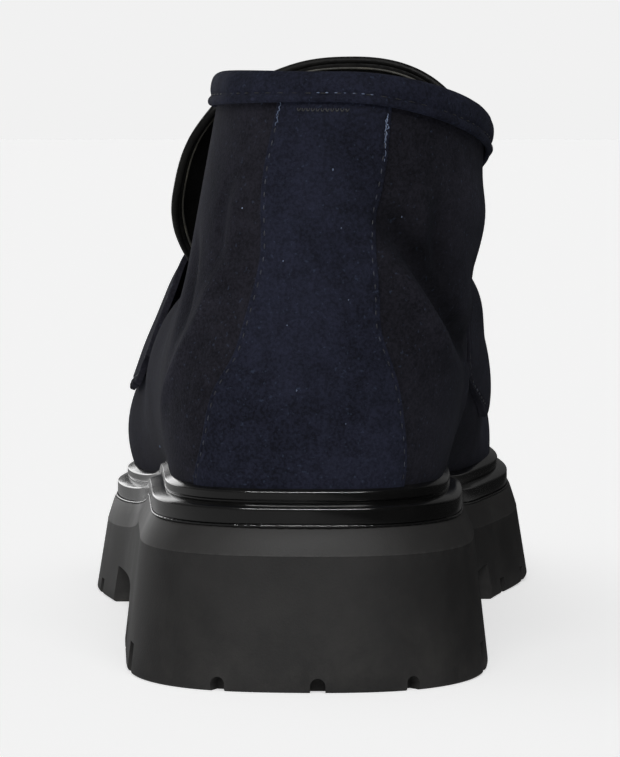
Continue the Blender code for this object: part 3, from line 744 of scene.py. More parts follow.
class Bench:
    """Puts nodes into one node tree and joins their sockets."""

    def __init__(self, tree: NodeTree) -> None:
        """Starts on a tree."""
        self.tree = tree

    def fill(self, node: Node, inputs: dict) -> None:
        """Links or sets a node's inputs.

        Args:
            node: the node.
            inputs: a value or a socket for each named or numbered input.
        """
        for name, value in inputs.items():
            if isinstance(value, Socket):
                self.tree.links.new(value, node.inputs[name])
            else:
                node.inputs[name].default_value = value

    def add(self, kind: str, inputs: dict | None = None, **settings: object) -> Node:
        """Adds a node.

        Args:
            kind: the node's type.
            inputs: a value or a socket for each named or numbered input.
            **settings: the node's own properties.

        Returns:
            The node.
        """
        node = self.tree.nodes.new(kind)
        for name, value in settings.items():
            setattr(node, name, value)
        self.fill(node, inputs or {})
        return node

    def place(self) -> Socket:
        """Object coordinates, in metres."""
        return self.add("ShaderNodeTexCoord").outputs["Object"]

    def part(self, vector: Socket, name: str) -> Socket:
        """A vector's X, Y or Z."""
        return self.add("ShaderNodeSeparateXYZ", {0: vector}).outputs[name]

    def noise(self, scale: Setting, detail: float, rough: float = 0.5) -> Socket:
        """A noise pattern's value."""
        inputs = {"Vector": self.place(), "Scale": scale, "Detail": detail, "Roughness": rough}
        return self.add("ShaderNodeTexNoise", inputs).outputs["Fac"]

    def ramp(
        self, value: Socket, low: float, high: float, start: float = 0.0, end: float = 1.0
    ) -> Socket:
        """A value stretched from one range to another, smoothly and clipped.

        Args:
            value: the value.
            low: where the first range starts.
            high: where it ends.
            start: the result up to there.
            end: the result from there on.

        Returns:
            The stretched value.
        """
        inputs = {"Value": value, "From Min": low, "From Max": high, "To Min": start, "To Max": end}
        settings = {"interpolation_type": "SMOOTHSTEP", "clamp": True}
        return self.add("ShaderNodeMapRange", inputs, **settings).outputs["Result"]

    def maths(self, operation: str, a: Setting, b: Setting, clamp: bool = False) -> Socket:
        """A sum, product or other operation on two values."""
        return self.add("ShaderNodeMath", {0: a, 1: b}, operation=operation, use_clamp=clamp).outputs[0]

    def times(self, a: Setting, b: Setting, clamp: bool = False) -> Socket:
        """A product of two values."""
        return self.maths("MULTIPLY", a, b, clamp)

    def between(self, share: Socket, a: Setting, b: Setting) -> Socket:
        """A value between two values."""
        return self.add("ShaderNodeMix", {0: share, 2: a, 3: b}).outputs[0]

    def mix(self, share: Socket, a: Setting, b: Setting) -> Socket:
        """A colour between two colours."""
        return self.add("ShaderNodeMix", {0: share, 6: a, 7: b}, data_type="RGBA").outputs[2]

    def scaled(self, colour: Setting, share: Socket) -> Socket:
        """A colour made darker or lighter."""
        return self.add("ShaderNodeVectorMath", {0: colour, "Scale": share}, operation="SCALE").outputs[0]

    def bump(self, height: Socket, strength: float, distance: float) -> Socket:
        """A normal from a height, with its depth in metres."""
        inputs = {"Height": height, "Strength": strength, "Distance": distance}
        return self.add("ShaderNodeBump", inputs).outputs["Normal"]


def new_group(name: str, inputs: dict[str, str], outputs: dict[str, str]) -> tuple[NodeTree, Bench, dict]:
    """Starts a shader node group.

    Args:
        name: the group's name.
        inputs: socket type of each named input.
        outputs: socket type of each named output.

    Returns:
        The group, a bench for its tree, and its input sockets by name.
    """
    group = bpy.data.node_groups.new(name, "ShaderNodeTree")
    for way, sockets in (("INPUT", inputs), ("OUTPUT", outputs)):
        for label, kind in sockets.items():
            group.interface.new_socket(name=label, in_out=way, socket_type="NodeSocket" + kind)
    bench = Bench(group)
    entry = bench.add("NodeGroupInput")
    return group, bench, {label: entry.outputs[label] for label in inputs}


def brushed_nap_group() -> NodeTree:
    """Mottled, speckled tone of a brushed surface, with the height of its nap.

    Returns:
        The group.
    """
    sockets = {name: "Color" for name in ("Deep", "Raised", "Fleck")}
    sockets |= {name: "Float" for name in ("Patch", "Grain", "Flecks")}
    group, bench, given = new_group("brushed_nap", sockets, {"Color": "Color", "Height": "Float"})
    patches = bench.noise(given["Patch"], 5.0, 0.6)
    fine_patches = bench.noise(bench.times(given["Patch"], 7.0), 4.0, 0.6)
    grain = bench.noise(given["Grain"], 3.0, 0.7)
    coarse = bench.ramp(patches, 0.34, 0.66, 0.0, 0.32)
    fine = bench.ramp(fine_patches, 0.34, 0.66, 0.0, 0.24)
    share = bench.ramp(grain, 0.36, 0.64, 0.0, 0.44)
    share = bench.maths("ADD", bench.maths("ADD", coarse, fine), share, clamp=True)
    tone = bench.mix(share, given["Deep"], given["Raised"])
    speck = bench.noise(bench.times(given["Grain"], 0.8), 1.0, 0.5)
    fleck = bench.times(bench.ramp(speck, 0.66, 0.78), given["Flecks"])
    height = bench.maths("ADD", grain, bench.times(fine_patches, 0.8))
    bench.add("NodeGroupOutput", {"Color": bench.mix(fleck, tone, given["Fleck"]), "Height": height})
    return group


def edge_wear_group() -> NodeTree:
    """Lighter tone on edges and corners that hands and feet rub.

    Returns:
        The group.
    """
    sockets = {"Tone": "Color", "Worn": "Color", "Amount": "Float"}
    group, bench, given = new_group("edge_wear", sockets, {"Color": "Color", "Mask": "Float"})
    pointed = bench.add("ShaderNodeNewGeometry").outputs["Pointiness"]
    broken = bench.ramp(bench.noise(260.0, 4.0, 0.65), 0.35, 0.7)
    mask = bench.times(bench.ramp(pointed, 0.52, 0.62), broken)
    mask = bench.times(mask, given["Amount"], clamp=True)
    bench.add("NodeGroupOutput", {"Color": bench.mix(mask, given["Tone"], given["Worn"]), "Mask": mask})
    return group


def floor_dust_group() -> NodeTree:
    """Dust that thins with height above the floor and gathers on faces that look up.

    Returns:
        The group.
    """
    sockets = {"Tone": "Color", "Dust": "Color", "Amount": "Float", "Reach": "Float"}
    group, bench, given = new_group("floor_dust", sockets, {"Color": "Color", "Mask": "Float"})
    height = bench.maths("DIVIDE", bench.part(bench.place(), "Z"), given["Reach"])
    low = bench.maths("SUBTRACT", 1.0, height, clamp=True)
    up = bench.part(bench.add("ShaderNodeNewGeometry").outputs["Normal"], "Z")
    ledge = bench.ramp(up, 0.55, 1.0, 0.0, 0.8)
    spread = bench.ramp(bench.noise(90.0, 6.0, 0.7), 0.42, 0.72)
    mask = bench.times(bench.maths("ADD", low, ledge, clamp=True), spread)
    mask = bench.times(mask, given["Amount"], clamp=True)
    bench.add("NodeGroupOutput", {"Color": bench.mix(mask, given["Tone"], given["Dust"]), "Mask": mask})
    return group


@dataclass
class Groups:
    """The node groups that the finishes share."""

    nap: NodeTree = field(default_factory=brushed_nap_group)
    wear: NodeTree = field(default_factory=edge_wear_group)
    dust: NodeTree = field(default_factory=floor_dust_group)

    def worn(self, bench: Bench, tone: Socket, rubbed: Setting, amount: float = 0.5) -> Socket:
        """A tone with its edges rubbed lighter.

        Args:
            bench: the material's bench.
            tone: the tone away from the edges.
            rubbed: the tone of a rubbed edge.
            amount: how much the edges are rubbed.

        Returns:
            The tone.
        """
        inputs = {"Tone": tone, "Worn": rubbed, "Amount": amount}
        return bench.add("ShaderNodeGroup", inputs, node_tree=self.wear).outputs["Color"]


class Finish:
    """A material that is made once, from what a finish gives its main shader."""

    name: str

    def material(self, groups: Groups) -> Material:
        """The finish as a material.

        Args:
            groups: the shared node groups.

        Returns:
            The material.
        """
        material = bpy.data.materials.new(self.name)
        material.use_nodes = True
        bench = Bench(material.node_tree)
        bench.fill(material.node_tree.nodes["Principled BSDF"], self.sockets(bench, groups))
        return material

    def sockets(self, bench: Bench, groups: Groups) -> dict[str, Setting]:
        """What the main shader gets, by the names of its inputs."""
        raise NotImplementedError


def opaque(colour: Colour, times: float = 1.0) -> tuple[float, ...]:
    """A colour with full alpha, made lighter by a factor."""
    return (*(times * part for part in colour), 1.0)


@dataclass(frozen=True)
class Suede(Finish):
    """Brushed navy suede, mottled where the nap lies one way or the other, with painted shade darkening
    its fold hollows and painted light brightening its fold ridges.
    """

    name: str = "navy_suede"
    deep: Colour = (0.0046, 0.0052, 0.0098)
    raised: Colour = (0.0250, 0.0280, 0.0500)
    fleck: Colour = (0.050, 0.068, 0.115)
    flecks: float = 0.4
    patch: float = 38.0
    grain: float = 1350.0
    sheen: float = 0.035
    painted_shade_tone: float = 0.3
    painted_light_tone: float = 1.4
    hollow_height: float = -3.4
    flat_height: float = 0.1
    ridge_height: float = 1.6
    rubbed: float = 1.5
    nap_strength: float = 0.55
    nap_depth: float = 0.0004
    roughness: tuple[float, float] = (0.82, 1.0)
    specular: float = 0.06
    sheen_roughness: float = 0.55
    sheen_tint: Colour = (0.55, 0.62, 0.85)

    def sockets(self, bench: Bench, groups: Groups) -> dict[str, Setting]:
        """Nap and edge wear, with painted shade in fold hollows and painted light on fold ridges.

        Args:
            bench: the material's bench.
            groups: the shared node groups.

        Returns:
            The main shader's inputs.
        """
        inputs = {"Deep": opaque(self.deep), "Raised": opaque(self.raised), "Fleck": opaque(self.fleck)}
        inputs |= {"Patch": self.patch, "Grain": self.grain, "Flecks": self.flecks}
        nap = bench.add("ShaderNodeGroup", inputs, node_tree=groups.nap).outputs
        worn = groups.worn(bench, nap["Color"], opaque(self.raised, self.rubbed))
        # Painted shade and painted light: the fold height darkens the tone in hollows and lightens it on
        # ridges.
        fold = bench.add("ShaderNodeAttribute", attribute_name=FOLD_HEIGHT).outputs["Fac"]
        painted_shade_share = bench.ramp(fold, self.hollow_height, self.flat_height, self.painted_shade_tone, 1.0)
        ridge = bench.ramp(fold, self.flat_height, self.ridge_height, 1.0, self.painted_light_tone)
        return {
            "Base Color": bench.scaled(worn, bench.times(painted_shade_share, ridge)),
            "Roughness": bench.ramp(nap["Height"], 0.6, 1.2, *self.roughness),
            "Normal": bench.bump(nap["Height"], self.nap_strength, self.nap_depth),
            "Specular IOR Level": self.specular,
            "Sheen Weight": self.sheen,
            "Sheen Roughness": self.sheen_roughness,
            "Sheen Tint": opaque(self.sheen_tint),
        }


@dataclass(frozen=True)
class LiningLeather(Finish):
    """Smooth black lining leather with a fine pebble and a few darker pores."""

    name: str = "lining_leather"
    tone: Colour = (0.0085, 0.0085, 0.0085)
    lit: Colour = (0.018, 0.0175, 0.016)
    rubbed: Colour = (0.035, 0.034, 0.030)
    roughness: float = 0.5
    wear: float = 0.6
    pebble: float = 900.0
    pebble_strength: float = 0.35
    pebble_depth: float = 0.00025
    cloud: float = 60.0
    specular: float = 0.07

    def sockets(self, bench: Bench, groups: Groups) -> dict[str, Setting]:
        """A cloudy tone, rubbed edges and a pebbled grain.

        Args:
            bench: the material's bench.
            groups: the shared node groups.

        Returns:
            The main shader's inputs.
        """
        pebble = bench.add("ShaderNodeTexVoronoi", {"Vector": bench.place(), "Scale": self.pebble})
        cloud = bench.noise(self.cloud, 5.0, 0.6)
        tone = bench.mix(bench.ramp(cloud, 0.35, 0.7), opaque(self.tone), opaque(self.lit))
        return {
            "Base Color": groups.worn(bench, tone, opaque(self.rubbed), self.wear),
            "Roughness": bench.ramp(cloud, 0.3, 0.7, self.roughness - 0.08, self.roughness + 0.1),
            "Normal": bench.bump(pebble.outputs["Distance"], self.pebble_strength, self.pebble_depth),
            "Specular IOR Level": self.specular,
        }


@dataclass(frozen=True)
class MouldedRubber(Finish):
    """Black moulded rubber with a fine tooth, scuffs and floor dust."""

    name: str
    deep: Colour
    lit: Colour
    roughness: float
    tooth: float = 0.3
    tooth_scale: float = 1800.0
    tooth_depth: float = 0.00015
    cloud: float = 34.0
    rubbed: float = 2.2
    dust: float = 0.12
    dust_roughness: float = 0.3
    dust_tone: Colour = (0.11, 0.105, 0.095)
    dust_reach: float = 0.028
    specular: float = 0.12

    def sockets(self, bench: Bench, groups: Groups) -> dict[str, Setting]:
        """A cloudy tone under scuffs and dust, with a fine tooth.

        Args:
            bench: the material's bench.
            groups: the shared node groups.

        Returns:
            The main shader's inputs.
        """
        cloud = bench.noise(self.cloud, 6.0, 0.6)
        tone = bench.mix(bench.ramp(cloud, 0.3, 0.7), opaque(self.deep), opaque(self.lit))
        worn = groups.worn(bench, tone, opaque(self.lit, self.rubbed))
        inputs = {"Tone": worn, "Dust": opaque(self.dust_tone)}
        inputs |= {"Amount": self.dust, "Reach": self.dust_reach}
        dusty = bench.add("ShaderNodeGroup", inputs, node_tree=groups.dust).outputs
        rough = bench.ramp(cloud, 0.3, 0.7, self.roughness - 0.06, self.roughness + 0.06)
        dull = bench.times(dusty["Mask"], self.dust_roughness)
        return {
            "Base Color": dusty["Color"],
            "Roughness": bench.maths("ADD", rough, dull, clamp=True),
            "Normal": bench.bump(bench.noise(self.tooth_scale, 2.0, 0.6), self.tooth, self.tooth_depth),
            "Specular IOR Level": self.specular,
        }


@dataclass(frozen=True)
class Thread(Finish):
    """Twisted polyester thread, brighter where a strand catches the light."""

    name: str
    tone: Colour
    lit: Colour
    twist: float = 2600.0
    twist_strength: float = 0.5
    twist_depth: float = 0.0001
    unevenness: float = 330.0
    roughness: tuple[float, float] = (0.55, 0.75)
    sheen: float = 0.15

    def sockets(self, bench: Bench, groups: Groups) -> dict[str, Setting]:
        """Twisted strands whose brightness comes and goes along the thread.

        Args:
            bench: the material's bench.
            groups: the shared node groups, which thread has no use for.

        Returns:
            The main shader's inputs.
        """
        twist = bench.noise(self.twist, 2.0)
        bright = bench.ramp(bench.noise(self.unevenness, 2.0), 0.47, 0.68)
        share = bench.times(bench.ramp(twist, 0.3, 0.7), bright, clamp=True)
        return {
            "Base Color": bench.mix(share, opaque(self.tone), opaque(self.lit)),
            "Roughness": bench.ramp(twist, 0.3, 0.7, *self.roughness),
            "Normal": bench.bump(twist, self.twist_strength, self.twist_depth),
            "Sheen Weight": self.sheen,
        }


@dataclass(frozen=True)
class PaleStage(Finish):
    """Seamless pale paper under the shoe, which throws less light up beside its shaded flank."""

    name: str = "pale_stage"
    tone: float = 0.80
    glow: float = 0.550
    mirrored: float = 0.3
    far_side: float = 0.05
    shade_from: float = -0.02
    shade_to: float = 0.14

    def sockets(self, bench: Bench, groups: Groups) -> dict[str, Setting]:
        """White paper to the camera, dimmer in reflections and in the light it throws to one side.

        Args:
            bench: the material's bench.
            groups: the shared node groups, which paper has no use for.

        Returns:
            The main shader's inputs.
        """
        ray = bench.add("ShaderNodeLightPath").outputs
        side = bench.part(bench.place(), "X")
        shade = (self.shade_from, self.shade_to)
        bounce = bench.ramp(side, *shade, self.glow, self.glow * self.far_side)
        lift = bench.times(ray["Is Glossy Ray"], self.mirrored - 1)
        bounce = bench.times(bounce, bench.maths("ADD", lift, 1.0))
        seen = bench.times(bench.maths("SUBTRACT", self.glow, bounce), ray["Is Camera Ray"])
        far = bench.ramp(side, *shade, self.mirrored, self.mirrored * self.far_side)
        return {
            "Base Color": bench.scaled((self.tone,) * 3, bench.between(ray["Is Glossy Ray"], 1.0, far)),
            "Roughness": 0.9,
            "Specular IOR Level": 0.0,
            "Emission Color": opaque((1.0, 1.0, 1.0)),
            "Emission Strength": bench.maths("ADD", bounce, seen),
        }


# ---------------------------------------------------------------- sewing


@dataclass(frozen=True)
class Stitch:
    """The size of one visible stitch and the gap to the next."""

    length: float = 2.2
    gap: float = 0.9
    thickness: float = 0.5
    flat: float = 0.75


def sew(form: Form, path: Array, normals: Array, stitch: Stitch) -> int:
    """Adds a row of stitches along a path.

    Args:
        form: the mesh under construction.
        path: the row's line on the surface, in millimetres, finely divided.
        normals: the surface's normals along it.
        stitch: the stitches' size.

    Returns:
        How many stitches the row holds.
    """
    run = run_along(path)

    def at(values: Array, distance: float) -> Array:
        """A point or direction at a distance along the row."""
        return np.array([np.interp(distance, run, values[:, k]) for k in range(3)])

    starts = np.arange(stitch.gap / 2, run[-1] - stitch.length, stitch.length + stitch.gap)
    for start in starts:
        first, last = at(path, start), at(path, start + stitch.length)
        side = unit(np.cross(last - first, at(normals, start + stitch.length / 2)))
        lift = np.cross(side, unit(last - first))
        half = stitch.thickness / 2
        axes = (side * half, lift * half * stitch.flat, (last - first) / 2, (first + last) / 2)
        matrix = np.eye(4)
        matrix[:3] = np.stack(axes, axis=1) * MM
        place = Matrix(matrix.tolist())
        bmesh.ops.create_uvsphere(form, u_segments=6, v_segments=5, radius=1.0, matrix=place)
    return len(starts)


# ---------------------------------------------------------------- the sole


@dataclass(frozen=True)
class Slot:
    """The size of a notch or slot that runs in from the sole's bottom edge."""

    width: float
    height: float
    depth: float


@dataclass(frozen=True)
class Groove:
    """A straight groove across the tread's middle: its centre, length, and turn in degrees."""

    x: float
    y: float
    length: float
    turn: float


@dataclass(frozen=True)
class ProfilePoint:
    """A point of a sole edge's section: insets at heel and ball, and height above the deck."""

    heel: float
    ball: float
    height: float


def sole_ways(stations: int) -> Array:
    """Places all the way round the outline, from toe tip to toe tip, by the faces on each side."""
    return np.linspace(-1, 1, 2 * stations + 1)


@dataclass
class SoleUnit:
    """Outsole, midsole band, welt and footbed."""

    last: Last
    groups: Groups
    stations: int = 210
    columns: int = 8
    edge_round: float = 0.8
    edge_faces: int = 4
    wall_faces: int = 6
    arch_height: float = 9.4
    heel_breast_y: float = -62.0
    tread_lateral_y: float = 20.0
    tread_medial_y: float = 38.0
    groove_width: float = 6.0
    groove_depth: float = 5.0
    lug_sharp: float = 35.0
    cutter_reach: float = 80.0
    notch: Slot = Slot(3.4, 3.2, 4.0)
    notch_ways: tuple[float, ...] = (-0.052, 0.010, 0.072)
    heel_slot: Slot = Slot(6.5, 7.0, 14.0)
    heel_slot_ways: tuple[float, ...] = (-0.160, 0.175, -0.270, 0.270)
    toe_slot: Slot = Slot(5.0, 4.0, 12.0)
    toe_slot_ways: tuple[float, ...] = (
        -0.610, -0.680, -0.750, -0.820, -0.890, -0.960, 0.640, 0.710, 0.780, 0.850, 0.920,
    )
    grooves: tuple[Groove, ...] = (
        Groove(7.0, -130.0, 44.0, 0.0),
        Groove(7.0, -108.0, 50.0, 0.0),
        Groove(6.5, -86.0, 50.0, 0.0),
        Groove(1.0, 50.0, 62.0, 12.0),
        Groove(0.5, 70.0, 66.0, 12.0),
        Groove(0.5, 90.0, 62.0, 12.0),
        Groove(2.0, 110.0, 54.0, 12.0),
        Groove(5.0, 129.0, 36.0, 12.0),
    )
    band: tuple[ProfilePoint, ...] = (
        ProfilePoint(12.0, 12.0, -0.02),
        ProfilePoint(3.7, 3.3, -0.02),
        ProfilePoint(3.25, 2.85, 0.0),
        ProfilePoint(3.42, 3.02, 0.6),
        ProfilePoint(4.60, 3.85, 3.2),
        ProfilePoint(5.85, 4.70, 5.75),
        ProfilePoint(6.10, 4.95, 6.05),
        ProfilePoint(6.60, 5.50, 6.15),
        ProfilePoint(12.0, 12.0, 6.15),
    )
    finishes: tuple[Finish, ...] = (
        MouldedRubber("moulded_rubber", (0.0245, 0.024, 0.024), (0.036, 0.035, 0.0345), 0.6, dust=0.14),
        MouldedRubber("bevel_rubber", (0.040, 0.039, 0.0385), (0.052, 0.051, 0.050), 0.55, dust=0.1),
        MouldedRubber("glossy_rubber", (0.0055,) * 3, (0.0095, 0.0095, 0.0093), 0.16, 0.03, specular=0.6),
        LiningLeather("footbed_leather", (0.012, 0.012, 0.0125), (0.022, 0.0215, 0.021), roughness=0.55),
    )
    welt_foot: tuple[ProfilePoint, ...] = (ProfilePoint(11.2, 11.0, 6.4), ProfilePoint(6.5, 6.0, 6.4))
    lower_bead: ProfilePoint = ProfilePoint(6.0, 5.5, 6.6)
    lower_height: float = 3.8
    welt_corner: tuple[ProfilePoint, ...] = (
        ProfilePoint(8.7, 8.0, 11.25),
        ProfilePoint(9.3, 8.6, 11.35),
        ProfilePoint(9.3, 8.6, 11.5),
    )
    upper_bead: ProfilePoint = ProfilePoint(8.85, 8.15, 11.6)
    upper_height: float = 2.3
    welt_top: tuple[ProfilePoint, ...] = (ProfilePoint(10.7, 10.5, 14.85), ProfilePoint(11.2, 11.0, 14.6))
    bead_foot_round: float = 0.45
    bead_top_round: float = 0.5
    bead_top_slope: float = math.radians(62)
    flash_line: ProfilePoint = ProfilePoint(5.95, 5.3, 6.4)
    flash_stations: int = 700
    flash_radius: float = 0.50
    flash_waves: Waves = ((0.07, 311.0, 0.0), (0.05, 187.0, 1.0), (0.04, 523.0, 0.0))
    flash_back: float = 0.045
    flash_thinning: float = 0.55
    footbed_inset: float = 13.2
    footbed_waist: float = 0.2
    footbed_stations: int = 100
    footbed_columns: int = 30
    footbed_z: float = 6.4
    footbed_thickness: float = 3.4
    footbed_round: float = 1.2
    footbed_dish: float = 0.9
    dish_fade: float = 0.08

    def build(self) -> None:
        """Makes the sole's pieces."""
        wall, band, gloss, leather = (finish.material(self.groups) for finish in self.finishes)
        self.make_outsole(wall)
        self.make_ring("midsole_band", self.band, band, "midsole_rubber", "midsole")
        self.make_ring("welt_beads", self.welt_profile(), gloss, "welt_gloss", "welt")
        self.make_flash_bead(gloss)
        self.make_footbed(leather)

    def ring_point(self, way: Array, heel: Amount, ball: Amount, height: Amount) -> Array:
        """Points at insets and heights above the deck."""
        edge = self.last.inset_edge(way, heel, ball)
        return np.concatenate([edge, (self.last.deck(edge[..., 1]) + height)[..., None]], axis=-1)

    def lay_ring(self, form: Form, profile: Sequence[ProfilePoint], stations: int) -> None:
        """Carries a section all the way round the sole.

        Args:
            form: the mesh under construction.
            profile: the section.
            stations: columns of faces on each side.
        """
        heel, ball, height = np.array([(row.heel, row.ball, row.height) for row in profile]).T

        def place(way: Array, station: Array) -> Array:
            """Points of the section round the sole."""
            i = nearest_whole(station)
            return self.ring_point(way, heel[i], ball[i], height[i])

        lay_grid(form, sole_ways(stations), np.arange(len(profile)), place)

    def make_ring(
        self, name: str, profile: Sequence[ProfilePoint], finish: Material, slot: str, node: str
    ) -> None:
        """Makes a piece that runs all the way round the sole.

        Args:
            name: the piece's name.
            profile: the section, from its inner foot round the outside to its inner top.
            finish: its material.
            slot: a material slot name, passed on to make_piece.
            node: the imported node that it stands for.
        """
        form = bmesh.new()
        self.lay_ring(form, [*profile, profile[0]], self.stations)
        close_up(form)
        make_piece(name, form, [finish], slot, [node], sharp=EDGE_SHARP)

    def close_across(
        self, form: Form, line: Callable[[Array], Array], rows: int, columns: int, dish: float = 0.0
    ) -> None:
        """Closes a ring with a sheet between its lateral and medial sides.

        Args:
            form: the mesh under construction.
            line: the ring's points, by the way round.
            rows: faces from the heel's back to the toe.
            columns: faces across.
            dish: how much lower the sheet lies in its middle.
        """

        def place(share: Array, across: Array) -> Array:
            """Points between the two sides, with the dish fading out at both ends.

            Args:
                share: 0 at the heel's back, 1 at the toe.
                across: 0 at the lateral side, 1 at the medial side.

            Returns:
                Points in millimetres, (..., 3).
            """
            fade = smooth_step(np.minimum(share, 1 - share) / self.dish_fade)
            low = dish * np.sin(np.pi * across) * fade
            return line(-share) + (line(share) - line(-share)) * across[:, None] - low[:, None] * UP

        lay_grid(form, np.linspace(0, 1, rows + 1), np.linspace(0, 1, columns + 1), place)

    def wall_point(self, way: Array, station: Amount) -> Array:
        """Points of the outsole's wall.

        Args:
            way: the place round the outline.
            station: 0 on the tread, then one by one round the wall's lower edge and up to the deck.

        Returns:
            Points in millimetres, (..., 3).
        """
        station = np.broadcast_to(station, way.shape)
        turn = np.minimum(station, self.edge_faces) / self.edge_faces * np.pi / 2
        part = np.maximum(station - self.edge_faces, 0) / self.wall_faces
        inset, rise = self.edge_round * (1 - np.sin(turn)), self.edge_round * (1 - np.cos(turn))
        top = self.last.wall_top
        edge = self.last.inset_edge(way, inset + top.heel * part, inset + top.ball * part)
        low = self.last.spring(edge[..., 1]) + rise
        height = low + (self.last.deck(edge[..., 1]) - low) * part
        return np.concatenate([edge, height[..., None]], axis=-1)

    def make_outsole(self, finish: Material) -> None:
        """Heel block, waist and forefoot, with the arch, slots, grooves and notches cut out.

        Args:
            finish: its material.
        """
        form, last_station = bmesh.new(), self.edge_faces + self.wall_faces
        lay_grid(form, sole_ways(self.stations), np.arange(last_station + 1), self.wall_point)
        for station in (0, last_station):
            end = partial(self.wall_point, station=station)
            self.close_across(form, end, self.stations, self.columns)
        close_up(form)
        sharp = {"sharp": self.lug_sharp}
        outsole = make_piece("outsole_lugged", form, [finish], "outsole_rubber", ["outsole"], **sharp)
        carvings = {
            "arch": self.carve_arch,
            "slots": self.carve_slots,
            "grooves": self.carve_grooves,
            "notches": self.carve_notches,
        }
        cutters = [self.cut(outsole, name, carve) for name, carve in carvings.items()]
        set_modifiers(outsole)
        for cutter in cutters:
            bpy.data.objects.remove(cutter)
        outsole.data.set_sharp_from_angle(angle=math.radians(self.lug_sharp))
        LOG.info("outsole_lugged: %d faces after cutting", len(outsole.data.polygons))

    def cut(self, body: Piece, name: str, carve: Callable[[Form], None]) -> Piece:
        """Adds a Boolean that takes a cutter's form out of a body.

        Args:
            body: the piece that is cut.
            name: the cut's name.
            carve: adds the cutter's blocks to its mesh.

        Returns:
            The cutter.
        """
        form = bmesh.new()
        carve(form)
        bmesh.ops.recalc_face_normals(form, faces=form.faces)
        mesh = bpy.data.meshes.new(f"cutter_{name}")
        form.to_mesh(mesh)
        form.free()
        cutter = bpy.data.objects.new(f"cutter_{name}", mesh)
        bpy.context.scene.collection.objects.link(cutter)
        cutter.hide_render = True
        boolean = body.modifiers.new(name, "BOOLEAN")
        boolean.operation = "DIFFERENCE"
        boolean.object = cutter
        return cutter

    def block(self, form: Form, centre: Array, along: Array, wide: Array, top: float) -> None:
        """Adds an upright block that reaches far below the floor.

        Args:
            form: the cutter's mesh.
            centre: the block's middle in plan.
            along: its half length as a plan vector.
            wide: its half width as a plan vector.
            top: the height of its flat top.
        """
        matrix = np.eye(4)
        matrix[:2, 0] = along * 2 * MM
        matrix[:2, 1] = wide * 2 * MM
        matrix[2, 2] = (top + self.cutter_reach) * MM
        matrix[:3, 3] = (centre[0] * MM, centre[1] * MM, (top - self.cutter_reach) / 2 * MM)
        bmesh.ops.create_cube(form, size=1.0, matrix=Matrix(matrix.tolist()))

    def carve_arch(self, form: Form) -> None:
        """The raised waist, from the heel breast to the slanted edge of the tread.

        Args:
            form: the cutter's mesh.
        """
        middle = (self.heel_breast_y + (self.tread_lateral_y + self.tread_medial_y) / 2) / 2
        half = np.array([0, middle - self.heel_breast_y])
        self.block(form, np.array([0, middle]), np.array([self.cutter_reach, 0]), half, self.arch_height)
        slant = (self.tread_medial_y - self.tread_lateral_y) / 2 * MM
        for vert in form.verts:
            if vert.co.y > middle * MM:
                vert.co.y += slant if vert.co.x > 0 else -slant

    def slot_frame(self, way: float) -> tuple[Array, Array, Array]:
        """A slot's place on the outline, with its directions along and into the sole."""
        point, normal = self.last.outline(np.array([way]))
        return point[0], np.array([-normal[0, 1], normal[0, 0]]), -normal[0]

    def carve_slots(self, form: Form) -> None:
        """The square slots of the heel's sides and of the forefoot's edge.

        Args:
            form: the cutter's mesh.
        """
        for slot, ways in ((self.heel_slot, self.heel_slot_ways), (self.toe_slot, self.toe_slot_ways)):
            for point, along, inward in map(self.slot_frame, ways):
                top = slot.height + float(self.last.spring(point[1]))
                self.block(form, point, inward * slot.depth, along * slot.width / 2, top)

    def carve_grooves(self, form: Form) -> None:
        """The straight grooves across the tread.

        Args:
            form: the cutter's mesh.
        """
        for groove in self.grooves:
            turn, top = math.radians(groove.turn), self.groove_depth + float(self.last.spring(groove.y))
            along = np.array([math.cos(turn), math.sin(turn)]) * groove.length / 2
            wide = np.array([-math.sin(turn), math.cos(turn)]) * self.groove_width / 2
            self.block(form, np.array([groove.x, groove.y]), along, wide, top)

    def carve_notches(self, form: Form) -> None:
        """The half-round notches in the heel's back edge, as level rods with square feet.

        Args:
            form: the cutter's mesh.
        """
        radius = self.notch.width / 2 * MM
        middle_z = self.notch.height * MM - radius
        for point, along, inward in map(self.slot_frame, self.notch_ways):
            matrix = np.eye(4)
            matrix[:2, 0] = along
            matrix[:3, 1] = UP
            matrix[:3, 2] = (*inward, 0)
            matrix[:3, 3] = (point[0] * MM, point[1] * MM, middle_z)
            ends = {"radius1": radius, "radius2": radius, "depth": 2 * self.notch.depth * MM}
            place = Matrix(matrix.tolist())
            rod = bmesh.ops.create_cone(form, cap_ends=True, segments=24, matrix=place, **ends)
            for vert in rod["verts"]:
                if vert.co.z < middle_z - WELD:
                    vert.co.z -= self.notch.width * MM

    def welt_profile(self) -> list[ProfilePoint]:
        """The section of the two rounded beads round the upper's foot.

        Returns:
            The section's points.
        """
        lower = self.bead(self.lower_bead, self.lower_height)
        upper = self.bead(self.upper_bead, self.upper_height)
        return [*self.welt_foot, *lower, *self.welt_corner, *upper, *self.welt_top]

    def bead(self, foot: ProfilePoint, height: float) -> list[ProfilePoint]:
        """The outside of one bead: an upright face, rounded at its foot and where its top slopes in.

        Args:
            foot: the bead's outermost line at its foot.
            height: the bead's height.

        Returns:
            The section's points, going up.
        """
        low, radius, slope = self.bead_foot_round, self.bead_top_round, self.bead_top_slope
        turns = np.linspace(-np.pi / 2, 0, 4)
        shape = [(low * (1 - math.cos(t)), low * (1 + math.sin(t))) for t in turns]
        start, turns = height - radius * math.sin(slope), np.linspace(0, slope, 6)
        shape += [(radius * (1 - math.cos(t)), start + radius * math.sin(t)) for t in turns]
        return [ProfilePoint(foot.heel + x, foot.ball + x, foot.height + up) for x, up in shape]

